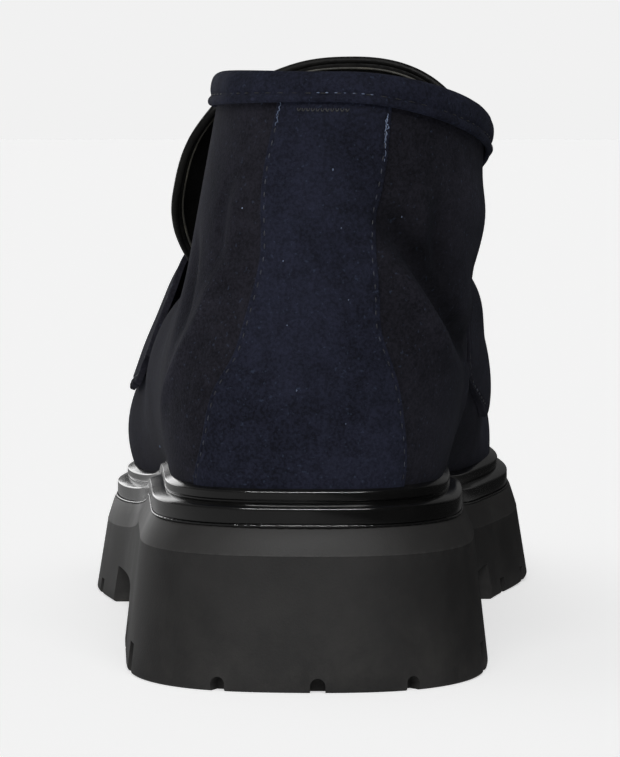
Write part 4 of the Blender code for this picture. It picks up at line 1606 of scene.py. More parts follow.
    def make_flash_bead(self, finish: Material) -> None:
        """The thin, uneven bead of rubber left in the corner between the band and the welt.

        Args:
            finish: its material.
        """
        line = self.flash_line
        ways = sole_ways(self.flash_stations)[:-1]
        ways = np.concatenate([ways, ways[:1]])
        radius = self.flash_radius + ripple(np.linspace(0, 2 * np.pi, len(ways)), self.flash_waves)
        away = 1 - np.exp(-((ways / self.flash_back) ** 4))
        radius = radius * (1 - self.flash_thinning * away)
        form = bmesh.new()
        path = self.ring_point(ways, line.heel, line.ball, line.height)
        lay_tube(form, path, np.tile(UP, (len(ways), 1)), radius, closed=True)
        close_up(form)
        make_piece("welt_flash_bead", form, [finish], "welt_gloss")

    def make_footbed(self, finish: Material) -> None:
        """A leather-covered footbed, crowned at its edge and dished under the heel.

        Args:
            finish: its material.
        """
        inset, bottom, top = self.footbed_inset, self.footbed_z, self.footbed_z + self.footbed_thickness
        turn = np.linspace(0, np.pi / 2, 5)
        depths = [0.0, *(self.footbed_round * (1 - np.cos(turn)))]
        heights = [bottom, *(top - self.footbed_round + self.footbed_round * np.sin(turn))]
        ball = inset - self.footbed_waist
        rim = [ProfilePoint(inset + depth, ball + depth, up) for depth, up in zip(depths, heights)]
        form, rows = bmesh.new(), self.footbed_stations
        self.lay_ring(form, rim, rows)
        for edge, dish in ((rim[0], 0.0), (rim[-1], self.footbed_dish)):
            line = partial(self.ring_point, heel=edge.heel, ball=edge.ball, height=edge.height)
            self.close_across(form, line, rows, self.footbed_columns, dish)
        close_up(form)
        make_piece("footbed", form, [finish], "insole_leather", ["insole"], sharp=SUEDE_SHARP)


# ---------------------------------------------------------------- the upper


@dataclass(frozen=True)
class SeamPoint:
    """Where the heel panel's stitched lines run at a level, on the way to each side."""

    level: float
    lateral: float
    medial: float


@dataclass
class Upper:
    """The suede shell with its lining, and the heel panel sewn over its back."""

    last: Last
    groups: Groups
    suede: Material
    panel_suede: Material
    lining: Material
    wall: float = 2.2
    stretches: tuple[tuple[float, float, int], ...] = (
        (0.0, 0.30, 130),
        (0.30, 0.50, 50),
        (0.50, 1.0, 130),
    )
    rows: int = 62
    panel_thickness: float = 0.5
    panel_round: float = 0.5
    panel_lift: float = 0.1
    panel_dent: float = 0.18
    dent_width: float = 0.4
    stitch_sink: float = 0.12
    stitched_levels: tuple[float, float] = (0.02, 0.94)
    stitched_from: float = 0.582
    seam_margin: float = 1.0
    way_length: float = 268.0
    panel_top: float = 0.965
    panel_foot: float = -0.25
    panel_faces: tuple[int, int] = (72, 100)
    apron_height: float = 1.1
    apron_width: float = 1.5
    apron_blend: float = 0.03
    channel_width: float = 1.2
    apron_channel: float = 0.55
    apron_side: float = 2.6
    level_length: float = 75.0
    apron_start: float = 0.57
    apron_shares: tuple[float, ...] = (0.57, 0.70, 0.80, 0.90, 1.00)
    apron_levels: tuple[float, ...] = (0.635, 0.575, 0.56, 0.60, 0.655)
    seams: tuple[SeamPoint, ...] = (
        SeamPoint(-0.30, 0.104, 0.090),
        SeamPoint(0.04, 0.096, 0.087),
        SeamPoint(0.11, 0.084, 0.084),
        SeamPoint(0.19, 0.075, 0.078),
        SeamPoint(0.29, 0.066, 0.068),
        SeamPoint(0.36, 0.055, 0.057),
        SeamPoint(0.43, 0.051, 0.045),
        SeamPoint(0.52, 0.048, 0.039),
        SeamPoint(0.60, 0.046, 0.034),
        SeamPoint(0.69, 0.050, 0.034),
        SeamPoint(0.79, 0.052, 0.037),
        SeamPoint(0.90, 0.049, 0.038),
        SeamPoint(1.00, 0.047, 0.037),
    )

    def build(self) -> None:
        """Makes the shell and the heel panel."""
        self.make_shell()
        self.make_heel_panel()

    def apron_level(self, share: Array) -> Array:
        """Level of the apron seam round the toe, by the distance from the heel's back."""
        return spline(self.apron_shares, self.apron_levels, share, flat_end=True)

    def make_shell(self) -> None:
        """The whole upper as one skin of suede with a wall of lining inside it."""
        stretches = (np.linspace(start, end, faces + 1)[1:] for start, end, faces in self.stretches)
        share = np.concatenate([[0], *stretches])
        ways = np.concatenate([-share[:0:-1], share])
        levels = np.concatenate([np.linspace(-1, 0, 4)[:-1], np.linspace(0, 1, self.rows + 1)])

        def place(way: Array, level: Array) -> Array:
            """Points of the suede's outer face, raised along the apron's seam.

            Args:
                way: the place round the outline.
                level: the upper's level.

            Returns:
                Points in millimetres, (..., 3).
            """
            base = self.last.surface(way, level)
            away = (level - self.apron_level(np.abs(way))) * self.level_length
            ahead = smooth_step((np.abs(way) - self.apron_start) / self.apron_blend)
            beside = hump(np.abs(away) - self.apron_side, self.channel_width)
            seam = hump(away, self.apron_width) - self.apron_channel * beside
            height = self.last.relief(base) + self.apron_height * ahead * seam
            return base + height[..., None] * self.last.normal(way, level)

        form = bmesh.new()
        lay_grid(form, ways, levels, place)
        weld(form)
        finishes = [self.suede, self.lining]
        shell = make_piece("upper_shell", form, finishes, "upper_suede", ["upper"], sharp=SUEDE_SHARP)
        mark_folds(shell, self.last)
        wall = shell.modifiers.new("wall", "SOLIDIFY")
        wall.thickness = self.wall * MM
        wall.offset = -1
        wall.material_offset = 1
        wall.material_offset_rim = 1

    def seam_way(self, level: Array, side: int) -> Array:
        """Place on the way round of a stitched line.

        Args:
            level: the upper's level.
            side: -1 for the lateral line, 1 for the medial one.

        Returns:
            The way round.
        """
        return side * read(self.seams, "level", "lateral" if side < 0 else "medial", level)

    def panel_way(self, u: Array, level: Array) -> Line:
        """Where a point of the panel lies.

        Args:
            u: 0 at the lateral cut edge, 1 at the medial one.
            level: the upper's level.

        Returns:
            The way round, and the distance in millimetres from the nearer cut edge.
        """
        margin = self.seam_margin / self.way_length
        start, end = self.seam_way(level, -1) - margin, self.seam_way(level, 1) + margin
        return start + (end - start) * u, np.minimum(u, 1 - u) * (end - start) * self.way_length

    def make_heel_panel(self) -> None:
        """The brighter panel down the heel's back, pulled in a little along its stitches."""

        def outer(u: Array, level: Array) -> Array:
            """Points of the panel's outer face.

            Args:
                u: 0 at the lateral cut edge, 1 at the medial one.
                level: the upper's level.

            Returns:
                Points in millimetres, (..., 3).
            """
            way, inside = self.panel_way(u, level)
            dent = self.panel_dent * hump(inside - self.seam_margin, self.dent_width)
            out = self.panel_lift + self.panel_thickness * rounded(inside, self.panel_round) - dent
            return self.last.face(way, level, np.where(inside < TINY, self.panel_lift, out))

        def inner(u: Array, level: Array) -> Array:
            """Points of the panel's back."""
            return self.last.face(self.panel_way(u, level)[0], level, self.panel_lift)

        form = bmesh.new()
        columns, rows = self.panel_faces
        across, levels = crowded(columns), np.linspace(self.panel_foot, self.panel_top, rows + 1)
        lay_sheet(form, across, levels, outer, inner)
        panel = make_piece("heel_panel", form, [self.panel_suede], "upper_suede", sharp=SUEDE_SHARP)
        mark_folds(panel, self.last)

    def panel_stitch_line(self, side: int, count: int = 260) -> Line:
        """The panel's stitched line on one side.

        Args:
            side: -1 for the lateral line, 1 for the medial one.
            count: points along it.

        Returns:
            The line and its normals.
        """
        level = np.linspace(*self.stitched_levels, count)
        way = self.seam_way(level, side)
        out = self.panel_lift + self.panel_thickness - self.stitch_sink
        return self.last.face(way, level, out), self.last.normal(way, level)

    def apron_line(self, out: float, shift: float = 0.0, count: int = 700) -> Line:
        """A line beside the apron seam, from the strap round the toe to the strap.

        Args:
            out: distance off the face.
            shift: distance above the seam, in levels.
            count: points along it.

        Returns:
            The line and its normals.
        """
        start, half = self.stitched_from, count // 2
        share = np.concatenate([np.linspace(start, 1, half), np.linspace(1, start, half)[1:]])
        way = np.concatenate([-share[:half], share[half:]])
        level = self.apron_level(share) + shift
        return self.last.face(way, level, out), self.last.normal(way, level)


@dataclass
class CollarBinding:
    """The rolled suede band over the collar's edge."""

    last: Last
    suede: Material
    end: float = 0.325
    rim_step: float = 0.03
    stations: int = 190
    groove_out: float = 1.5
    stitch_level: float = 0.97
    fuller: float = 0.22
    fuller_by: float = 0.16
    way_length: float = 300.0
    end_roll: float = 9.0
    end_share: float = 0.55
    waves: Waves = ((0.12, 95.0, 0.0), (0.08, 173.0, 1.3))
    swell_from: float = 1.0
    # Points of the section: across the collar's wall, and up from its edge.
    section: tuple[tuple[float, float], ...] = (
        (0.30, -4.75), (0.80, -5.10), (1.40, -5.10), (1.85, -4.75), (2.02, -4.20), (1.85, -3.65),
        (1.42, -3.30), (1.42, -3.00), (1.75, -2.50), (1.85, -1.40), (1.75, -0.20), (1.30, 0.95),
        (0.50, 1.70), (-0.50, 2.05), (-1.60, 2.05), (-2.65, 1.70), (-3.60, 0.90), (-4.20, -0.40),
        (-4.50, -2.2), (-4.55, -4.6), (-4.35, -5.8), (-3.90, -6.2), (-3.10, -5.8), (-2.95, -3.0),
        (-2.90, -0.3), (-1.30, 0.30), (0.25, 0.15), (0.28, -2.0), (0.28, -4.0),
    )

    def drop_share(self, way: Array) -> Array:
        """How much deeper the band hangs than at the heel's back."""
        return 1 + self.fuller * smooth_step(np.abs(way) / self.fuller_by)

    def section_point(self, way: Array, across: Array, up: Array) -> Array:
        """Points of the section at places round the collar.

        Args:
            way: the place round the outline.
            across: distance out of the collar's wall.
            up: distance up from the collar's edge.

        Returns:
            Points in millimetres, (..., 3).
        """
        rise = self.last.surface(way, 1.0) - self.last.surface(way, 1.0 - self.rim_step)
        rate = np.linalg.norm(rise, axis=-1) / self.rim_step
        face = self.last.stand_off(way, 1 + np.minimum(up, 0) / rate, across)
        return face + unit(rise) * np.maximum(up, 0)[..., None]

    def build(self) -> None:
        """Makes the band."""
        section = np.array([*self.section, self.section[0]])

        def place(way: Array, station: Array) -> Array:
            """Points of the band's skin, with the roll a little uneven and its ends drawn in.

            Args:
                way: the place round the outline.
                station: the section's point.

            Returns:
                Points in millimetres, (..., 3).
            """
            across, up = section[nearest_whole(station)].T
            left = (self.end - np.abs(way)) * self.way_length
            draw = self.end_share + (1 - self.end_share) * rounded(left, self.end_roll)
            draw = draw * np.where(up < 0, self.drop_share(way), 1.0)
            swell = ripple(way, self.waves) * (across > self.swell_from)
            return self.section_point(way, across + swell, up * draw)

        form = bmesh.new()
        lay_grid(form, self.end * sole_ways(self.stations), np.arange(len(section)), place)
        close_up(form)
        roll = ("binding_suede", ["collar_binding"], SUEDE_SHARP)
        piece = make_piece("collar_binding_rolled", form, [self.suede], *roll)
        smooth = piece.modifiers.new("soft_roll", "SUBSURF")
        smooth.levels = smooth.render_levels = 1

    def stitch_line(self, start: float, end: float, up: float, count: int) -> Line:
        """A line of stitches on the band's outside.

        Args:
            start: where it starts, on the way round.
            end: where it ends.
            up: height from the collar's edge.
            count: points along it.

        Returns:
            The line and its normals.
        """
        way = np.linspace(start, end, count)
        points = self.section_point(way, np.full(count, self.groove_out), up * self.drop_share(way))
        return points, self.last.normal(way, np.full(count, self.stitch_level))


# ---------------------------------------------------------------- tongue and strap


@dataclass(frozen=True)
class StrapPoint:
    """Rear and front edge of the saddle strap, by the distance from the instep's middle."""

    across: float
    rear: float
    front: float


@dataclass
class SaddleStrap:
    """The suede band over the instep, lifted where the tongue passes under it."""

    last: Last
    suede: Material
    thickness: float = 1.6
    flank: float = 118.0
    broad: float = 25.0
    edge_round: float = 1.0
    channel: float = 0.3
    channel_inside: float = 2.6
    channel_width: float = 0.6
    stitch_sink: float = 0.18
    stitch_inset: float = 0.105
    stitch_ends: tuple[float, float, float] = (0.93, 0.968, 0.976)
    slenderness: float = 4.7
    flank_gap: float = 0.25
    tongue_rise: float = 3.3
    end_level: float = 0.31
    torn_end: tuple[float, float] = (0.012, -0.042)
    medial_end: tuple[float, float] = (0.27, 0.18)
    corner: float = 0.3
    corner_reach: float = 0.045
    lateral_flare: float = 0.8
    medial_flare: float = 0.0
    shoulder_lift: float = 5.0
    shoulder_at: float = 0.60
    shoulder_width: float = 0.13
    flare_start: float = 0.72
    torn_reach: float = 0.12
    tear_at: float = 0.30
    tear_width: float = 0.16
    tear_slant: float = 0.3
    fray: Waves = ((0.007, 31.0, 0.0), (0.0042, 67.0, 1.0))
    tongue_level: float = 0.56
    medial_tongue_level: float = 0.66
    ramp_start: float = 0.06
    ramp: float = 0.20
    foot_inside: float = 0.016
    edges: tuple[StrapPoint, ...] = (
        StrapPoint(0.00, 0.545, 0.606),
        StrapPoint(0.25, 0.531, 0.594),
        StrapPoint(0.50, 0.519, 0.588),
        StrapPoint(1.00, 0.509, 0.607),
    )

    def edge(self, reach: Array, edge: Edge) -> Array:
        """Place of one long edge on the way round.

        Args:
            reach: the distance from the instep's middle, 0 to 1.
            edge: which edge.

        Returns:
            The distance from the heel's back, 0 to 1.
        """
        return read(self.edges, "across", edge.value, reach)

    def spot(self, across: Array, width: Array) -> tuple[Array, Array, Array]:
        """Where a point of the strap lies.

        Args:
            across: -1 at the lateral end, 1 at the medial end.
            width: 0 at the rear edge, 1 at the front edge.

        Returns:
            The way round, the level and the lift off the upper.
        """
        reach, lateral = np.abs(across), across < 0
        rear, front = self.edge(reach, Edge.REAR), self.edge(reach, Edge.FRONT)
        near_end = np.clip((reach - 1) / self.corner_reach + 1, 0, 1)
        narrowed = 1 - self.corner * (1 - np.sqrt(1 - near_end**2))
        share = rear + (front - rear) * (0.5 + (width - 0.5) * narrowed)
        medial_end = self.medial_end[0] + (self.medial_end[1] - self.medial_end[0]) * width
        level = 1 - reach * (1 - np.where(lateral, self.lateral_end(reach, width, near_end), medial_end))
        tongue_level = np.where(lateral, self.tongue_level, self.medial_tongue_level)
        beside = smooth_step((tongue_level - self.ramp_start - level) / self.ramp)
        before = smooth_step((share - front + self.foot_inside) / self.foot_inside)
        flare = np.where(lateral, self.lateral_flare, self.medial_flare)
        lift = self.tongue_rise * (1 - beside)
        lift = lift + flare * smooth_step((reach - self.flare_start) / (1 - self.flare_start))
        shoulder = self.shoulder_lift * hump(reach - self.shoulder_at, self.shoulder_width)
        lift = lift + np.where(lateral, shoulder, 0.0)
        return np.where(lateral, -1.0, 1.0) * share, level, self.flank_gap + lift * (1 - before)

    def lateral_end(self, reach: Array, width: Array, near_end: Array) -> Array:
        """Level of the frayed lateral end, torn lower at its front.

        Args:
            reach: the distance from the instep's middle, 0 to 1.
            width: 0 at the rear edge, 1 at the front edge.
            near_end: 0 away from the end, 1 at it.

        Returns:
            The level.
        """
        torn = smooth_step((width - self.tear_at) / self.tear_width)
        slanted = self.tear_slant * width + (1 - self.tear_slant) * torn
        hang = self.torn_end[0] + (self.torn_end[1] - self.torn_end[0]) * slanted
        frayed = near_end * ripple(width, self.fray)
        return self.end_level + frayed + hang * smooth_step((reach - 1) / self.torn_reach + 1)

    def face(self, across: Array, width: Array, out: Amount) -> Array:
        """Points of the strap, off its own underside by a distance."""
        way, level, lift = self.spot(across, width)
        return self.last.face(way, level, lift + out)

    def build(self) -> None:
        """Makes the strap, with rounded edges and a shallow channel under each row of stitches."""

        def outer(across: Array, width: Array) -> Array:
            """Points of the strap's face.

            Args:
                across: -1 at the lateral end, 1 at the medial end.
                width: 0 at the rear edge, 1 at the front edge.

            Returns:
                Points in millimetres, (..., 3).
            """
            side = np.minimum(width, 1 - width) * self.broad
            inside = np.minimum(side, (1 - np.abs(across)) * self.flank)
            dent = self.channel * hump(inside - self.channel_inside, self.channel_width)
            out = self.thickness * rounded(inside, self.edge_round) - dent
            return self.face(across, width, np.where(inside < TINY, 0.0, out))

        def inner(across: Array, width: Array) -> Array:
            """Points of the strap's underside."""
            return self.face(across, width, 0.0)

        form = bmesh.new()
        across, width = 2 * crowded(220, 0.7) - 1, crowded(44, 0.75)
        lay_sheet(form, across, width, outer, inner)
        make_piece("saddle_strap_sewn", form, [self.suede], "strap_suede", ["saddle_strap"], SUEDE_SHARP)

    def stitch_line(self, side: float, count: int = 700) -> Line:
        """The row of stitches inside the strap's edge, from the instep down round one end and back.

        Args:
            side: -1 for the lateral end, 1 for the medial end.
            count: points along it.

        Returns:
            The line and its normals.
        """
        inset, (turn, corner, end) = self.stitch_inset, self.stitch_ends
        corners = [(0.0, inset), (0.5, inset), (turn, inset), (corner, 0.18), (end, 0.3), (end, 0.5)]
        corners += [(reach, 1 - width) for reach, width in corners[-2::-1]]
        scale = np.array([self.slenderness, 1.0])
        path = along_path(np.array(corners) * scale, count) / scale
        across, width = side * path[:, 0], path[:, 1]
        way, level, _ = self.spot(across, width)
        return self.face(across, width, self.thickness - self.stitch_sink), self.last.normal(way, level)


@dataclass(frozen=True)
class TongueRow:
    """A line across the tongue's outer face: its lateral edge, its middle and its medial edge."""

    lateral: tuple[float, float, float]
    middle: tuple[float, float, float]
    medial: tuple[float, float, float]


def between_points(values: Array, spots: Array) -> Array:
    """Values between four neighbours.

    Args:
        values: rows of values.
        spots: fractional rows and columns, (n, 2).

    Returns:
        One value for each spot.
    """
    most = np.array(values.shape[:2]) - 2
    i, j = np.clip(np.floor(spots - TINY).astype(int), 0, most).T
    a, b = spots[:, 0, None] - i[:, None], spots[:, 1, None] - j[:, None]
    low = values[i, j] * (1 - b) + values[i, j + 1] * b
    return low * (1 - a) + (values[i + 1, j] * (1 - b) + values[i + 1, j + 1] * b) * a


@dataclass(frozen=True)
class Trim:
    """A cord along the tongue's free edge: its name, distance inside, radius and faces round it."""

    name: str
    inside: float
    radius: float
    sides: int


@dataclass
class Tongue:
    """The flap that stands clear of the throat: suede outside, black leather inside."""

    last: Last
    strap: SaddleStrap
    suede: Material
    lining: Material
    piping: Material
    thickness: float = 2.2
    seat_gap: float = 0.5
    foot_inside: float = 0.018
    brim_outside: float = 0.010
    nearest_brim: float = 0.522
    wrap: float = math.radians(70)
    rows: tuple[TongueRow, ...] = (
        TongueRow((-28.4, -49.0, 101.0), (13.6, -42.0, 115.5), (43.6, -47.0, 99.0)),
        TongueRow((-27.4, -58.0, 109.5), (14.3, -46.5, 124.0), (44.6, -52.0, 106.5)),
        TongueRow((-23.8, -64.0, 120.0), (14.9, -50.5, 132.0), (45.4, -56.0, 114.0)),
        TongueRow((-16.6, -67.0, 129.5), (15.4, -53.5, 140.3), (45.6, -59.0, 121.0)),
    )
    shoulder_dip: float = 1.2
    dip_at: float = -0.55
    dip_width: float = 0.25
    row_crowding: float = 1.2
    edge_round: float = 1.1
    crown: float = 1.16
    clear_rounds: int = 4
    blur_rounds: int = 10
    most_push: float = 6.0
    over_face: float = 0.7
    corner: float = 2.5
    edge_points: int = 420
    edge_start: int = 10
    rolled_edge: Trim = Trim("tongue_rolled_edge", 0.5, 1.0, 12)
    fine_piping: Trim = Trim("tongue_piping", 2.1, 0.3, 8)

    def outer_grid(self, columns: int = 97, seated: int = 9, free: int = 46) -> Array:
        """The tongue's outer face.

        Args:
            columns: points across.
            seated: rows under the strap.
            free: rows above it.

        Returns:
            Rows of points, from its foot to its top edge.
        """
        across = np.linspace(-1, 1, columns)
        side, reach, lateral = np.where(across < 0, -1.0, 1.0), np.abs(across), across < 0
        seat_level = np.where(lateral, self.strap.tongue_level, self.strap.medial_tongue_level)
        level = 1 - reach * (1 - seat_level)
        along = (1 - level) / (1 - self.strap.end_level)
        foot = self.strap.edge(along, Edge.FRONT) - self.foot_inside
        brim = np.maximum(self.strap.edge(along, Edge.REAR) - self.brim_outside, self.nearest_brim)
        distance = self.seat_gap + self.thickness
        sections = [
            self.last.stand_off(side * (foot + part * (brim - foot)), level, distance)
            for part in np.linspace(0, 1, seated)
        ]
        angle = reach * self.wrap
        sideways = np.sin(angle) / math.sin(self.wrap)
        backwards = (1 - np.cos(angle)) / (1 - math.cos(self.wrap))
        turn = np.stack([sideways, backwards, backwards**self.crown], axis=1)
        for row in self.rows:
            edge = np.where(lateral[:, None], row.lateral, row.medial)
            sections.append(row.middle + (edge - row.middle) * turn)
        sections[-1][:, 2] -= self.shoulder_dip * hump(across - self.dip_at, self.dip_width)
        lines = np.array(sections)
        knots = lines[[seated // 2, *range(seated - 1, len(lines))]]
        heights = run_along(knots[:, columns // 2])
        part = np.linspace(0, 1, free + 1)[1:] ** self.row_crowding
        at = heights[1] + part * (heights[-1] - heights[1])
        freed = [[spline(heights, knots[:, j, k], at) for k in range(3)] for j in range(columns)]
        freed = np.transpose(freed, (2, 0, 1))
        return self.clear_of_upper(np.concatenate([lines[:seated], freed]), seated)

    def clear_of_upper(self, grid: Array, seated: int) -> Array:
        """Swells the free part smoothly outward wherever it would pass through the upper.

        Args:
            grid: rows of points from the foot to the top edge.
            seated: how many rows lie under the strap and stay.

        Returns:
            The cleared rows.
        """
        form = bmesh.new()
        ways, levels = sole_ways(130), np.linspace(0, 1, 41)
        lay_grid(form, ways, levels, lambda way, level: self.last.face(way, level) / MM)
        tree = BVHTree.FromBMesh(form)
        form.free()
        distance = self.seat_gap + self.thickness
        for _ in range(self.clear_rounds):
            need = np.array([[self.shortfall(tree, point, distance) for point in row] for row in grid])
            need[:seated] = 0
            for axis in (0, 1):
                need = np.maximum(need, np.maximum(np.roll(need, 1, axis), np.roll(need, -1, axis)))
            for _ in range(self.blur_rounds):
                padded = np.pad(need, 1, mode="edge")
                need = (padded[2:, 1:-1] + padded[:-2, 1:-1] + padded[1:-1, 2:] + padded[1:-1, :-2]) / 4
                need[:seated] = 0
            normal = np.cross(np.gradient(grid, axis=0), np.gradient(grid, axis=1))
            grid = grid + need[..., None] * unit(normal)
        return grid

    def shortfall(self, tree: BVHTree, point: Array, distance: float) -> float:
        """How much nearer than a distance a point lies to the upper's face or its top edge.

        Args:
            tree: the upper's face.
            point: the point.
            distance: the distance that it should keep.

        Returns:
            The shortfall in millimetres.
        """
        near, normal, _, far = tree.find_nearest(Vector(point))
        height = (Vector(point) - near).dot(normal)
        over_face = abs(height) > self.over_face * far
        return float(np.clip(distance - (height if over_face else far), 0, self.most_push))

    def build(self) -> None:
        """Makes the flap, its rolled edge and the fine piping beside it."""
        outer = self.outer_grid()
        rows, columns = outer.shape[:2]
        up, along = np.gradient(outer, axis=0), np.gradient(outer, axis=1)
        normal = unit(np.cross(up, along))
        row_run = np.cumsum(np.linalg.norm(up, axis=-1), axis=0)
        column_run = np.cumsum(np.linalg.norm(along, axis=-1), axis=1)
        from_side = np.minimum(column_run - column_run[:, :1], column_run[:, -1:] - column_run)
        inside = np.minimum(from_side, row_run[-1:] - row_run)
        middle = outer - normal * self.thickness / 2
        half = (self.thickness / 2 * rounded(inside, self.edge_round))[..., None] * normal

        def outer_skin(column: Array, row: Array) -> Array:
            """Points of the flap's face."""
            return (middle + half)[nearest_whole(row), nearest_whole(column)]

        def inner_skin(column: Array, row: Array) -> Array:
            """Points of the flap's back."""
            return (middle - half)[nearest_whole(row), nearest_whole(column)]

        form = bmesh.new()
        lay_sheet(form, np.arange(columns), np.arange(rows), outer_skin, inner_skin, finish=1)
        finishes = [self.suede, self.lining]
        make_piece("tongue_flap", form, finishes, "tongue_suede", ["tongue"], SUEDE_SHARP)
        self.make_edge(middle, normal, half)

    def make_edge(self, middle: Array, normal: Array, half: Array) -> None:
        """The turned leather edge along the flap's free sides, and the pale piping inside it.

        Args:
            middle: the flap's middle face as rows of points.
            normal: its outward normals.
            half: the way from the middle face to the outer one.
        """
        for trim, finish, face in (
            (self.rolled_edge, self.lining, middle),
            (self.fine_piping, self.piping, middle - half),
        ):
            spots = self.free_edge(middle, trim.inside)
            form = bmesh.new()
            path, normals = between_points(face, spots), between_points(normal, spots)
            lay_tube(form, path, normals, trim.radius, sides=trim.sides)
            close_up(form)
            make_piece(trim.name, form, [finish], "tongue_suede")

    def free_edge(self, middle: Array, depth: float) -> Array:
        """A line inside the flap's free edge, up one side, over the top and down the other.

        Args:
            middle: the flap's middle face as rows of points.
            depth: the distance inside.

        Returns:
            Its places as fractional rows and columns, (n, 2).
        """
        rows, columns = middle.shape[:2]
        steps_across = np.linalg.norm(np.diff(middle, axis=1), axis=-1)
        steps_up = np.linalg.norm(np.diff(middle, axis=0), axis=-1)
        left = np.concatenate([np.zeros((rows, 1)), np.cumsum(steps_across, axis=1)], axis=1)
        down = np.concatenate([np.cumsum(steps_up[::-1], axis=0)[::-1], np.zeros((1, columns))])
        corner, sides = depth + self.corner, np.arange(self.edge_start, rows)
        every_column = np.arange(columns)
        spots = [(i, np.interp(depth, left[i], every_column)) for i in sides if down[i, 0] > corner]
        across = [j for j in every_column if corner < left[-1, j] < left[-1, -1] - corner]
        spots += [(np.interp(-depth, -down[:, j], np.arange(rows)), j) for j in across]
        far = [i for i in sides[::-1] if down[i, -1] > corner]
        spots += [(i, np.interp(left[i, -1] - depth, left[i], every_column)) for i in far]
        return along_path(np.array(spots, float)[::2], self.edge_points)


# ---------------------------------------------------------------- thread and lint


@dataclass(frozen=True)
class Strand:
    """A loose thread end: its side, top and height in levels, sway, turns, phase and radius."""

    side: int
    top: float
    height: float
    sway: float
    turns: float
    phase: float
    radius: float


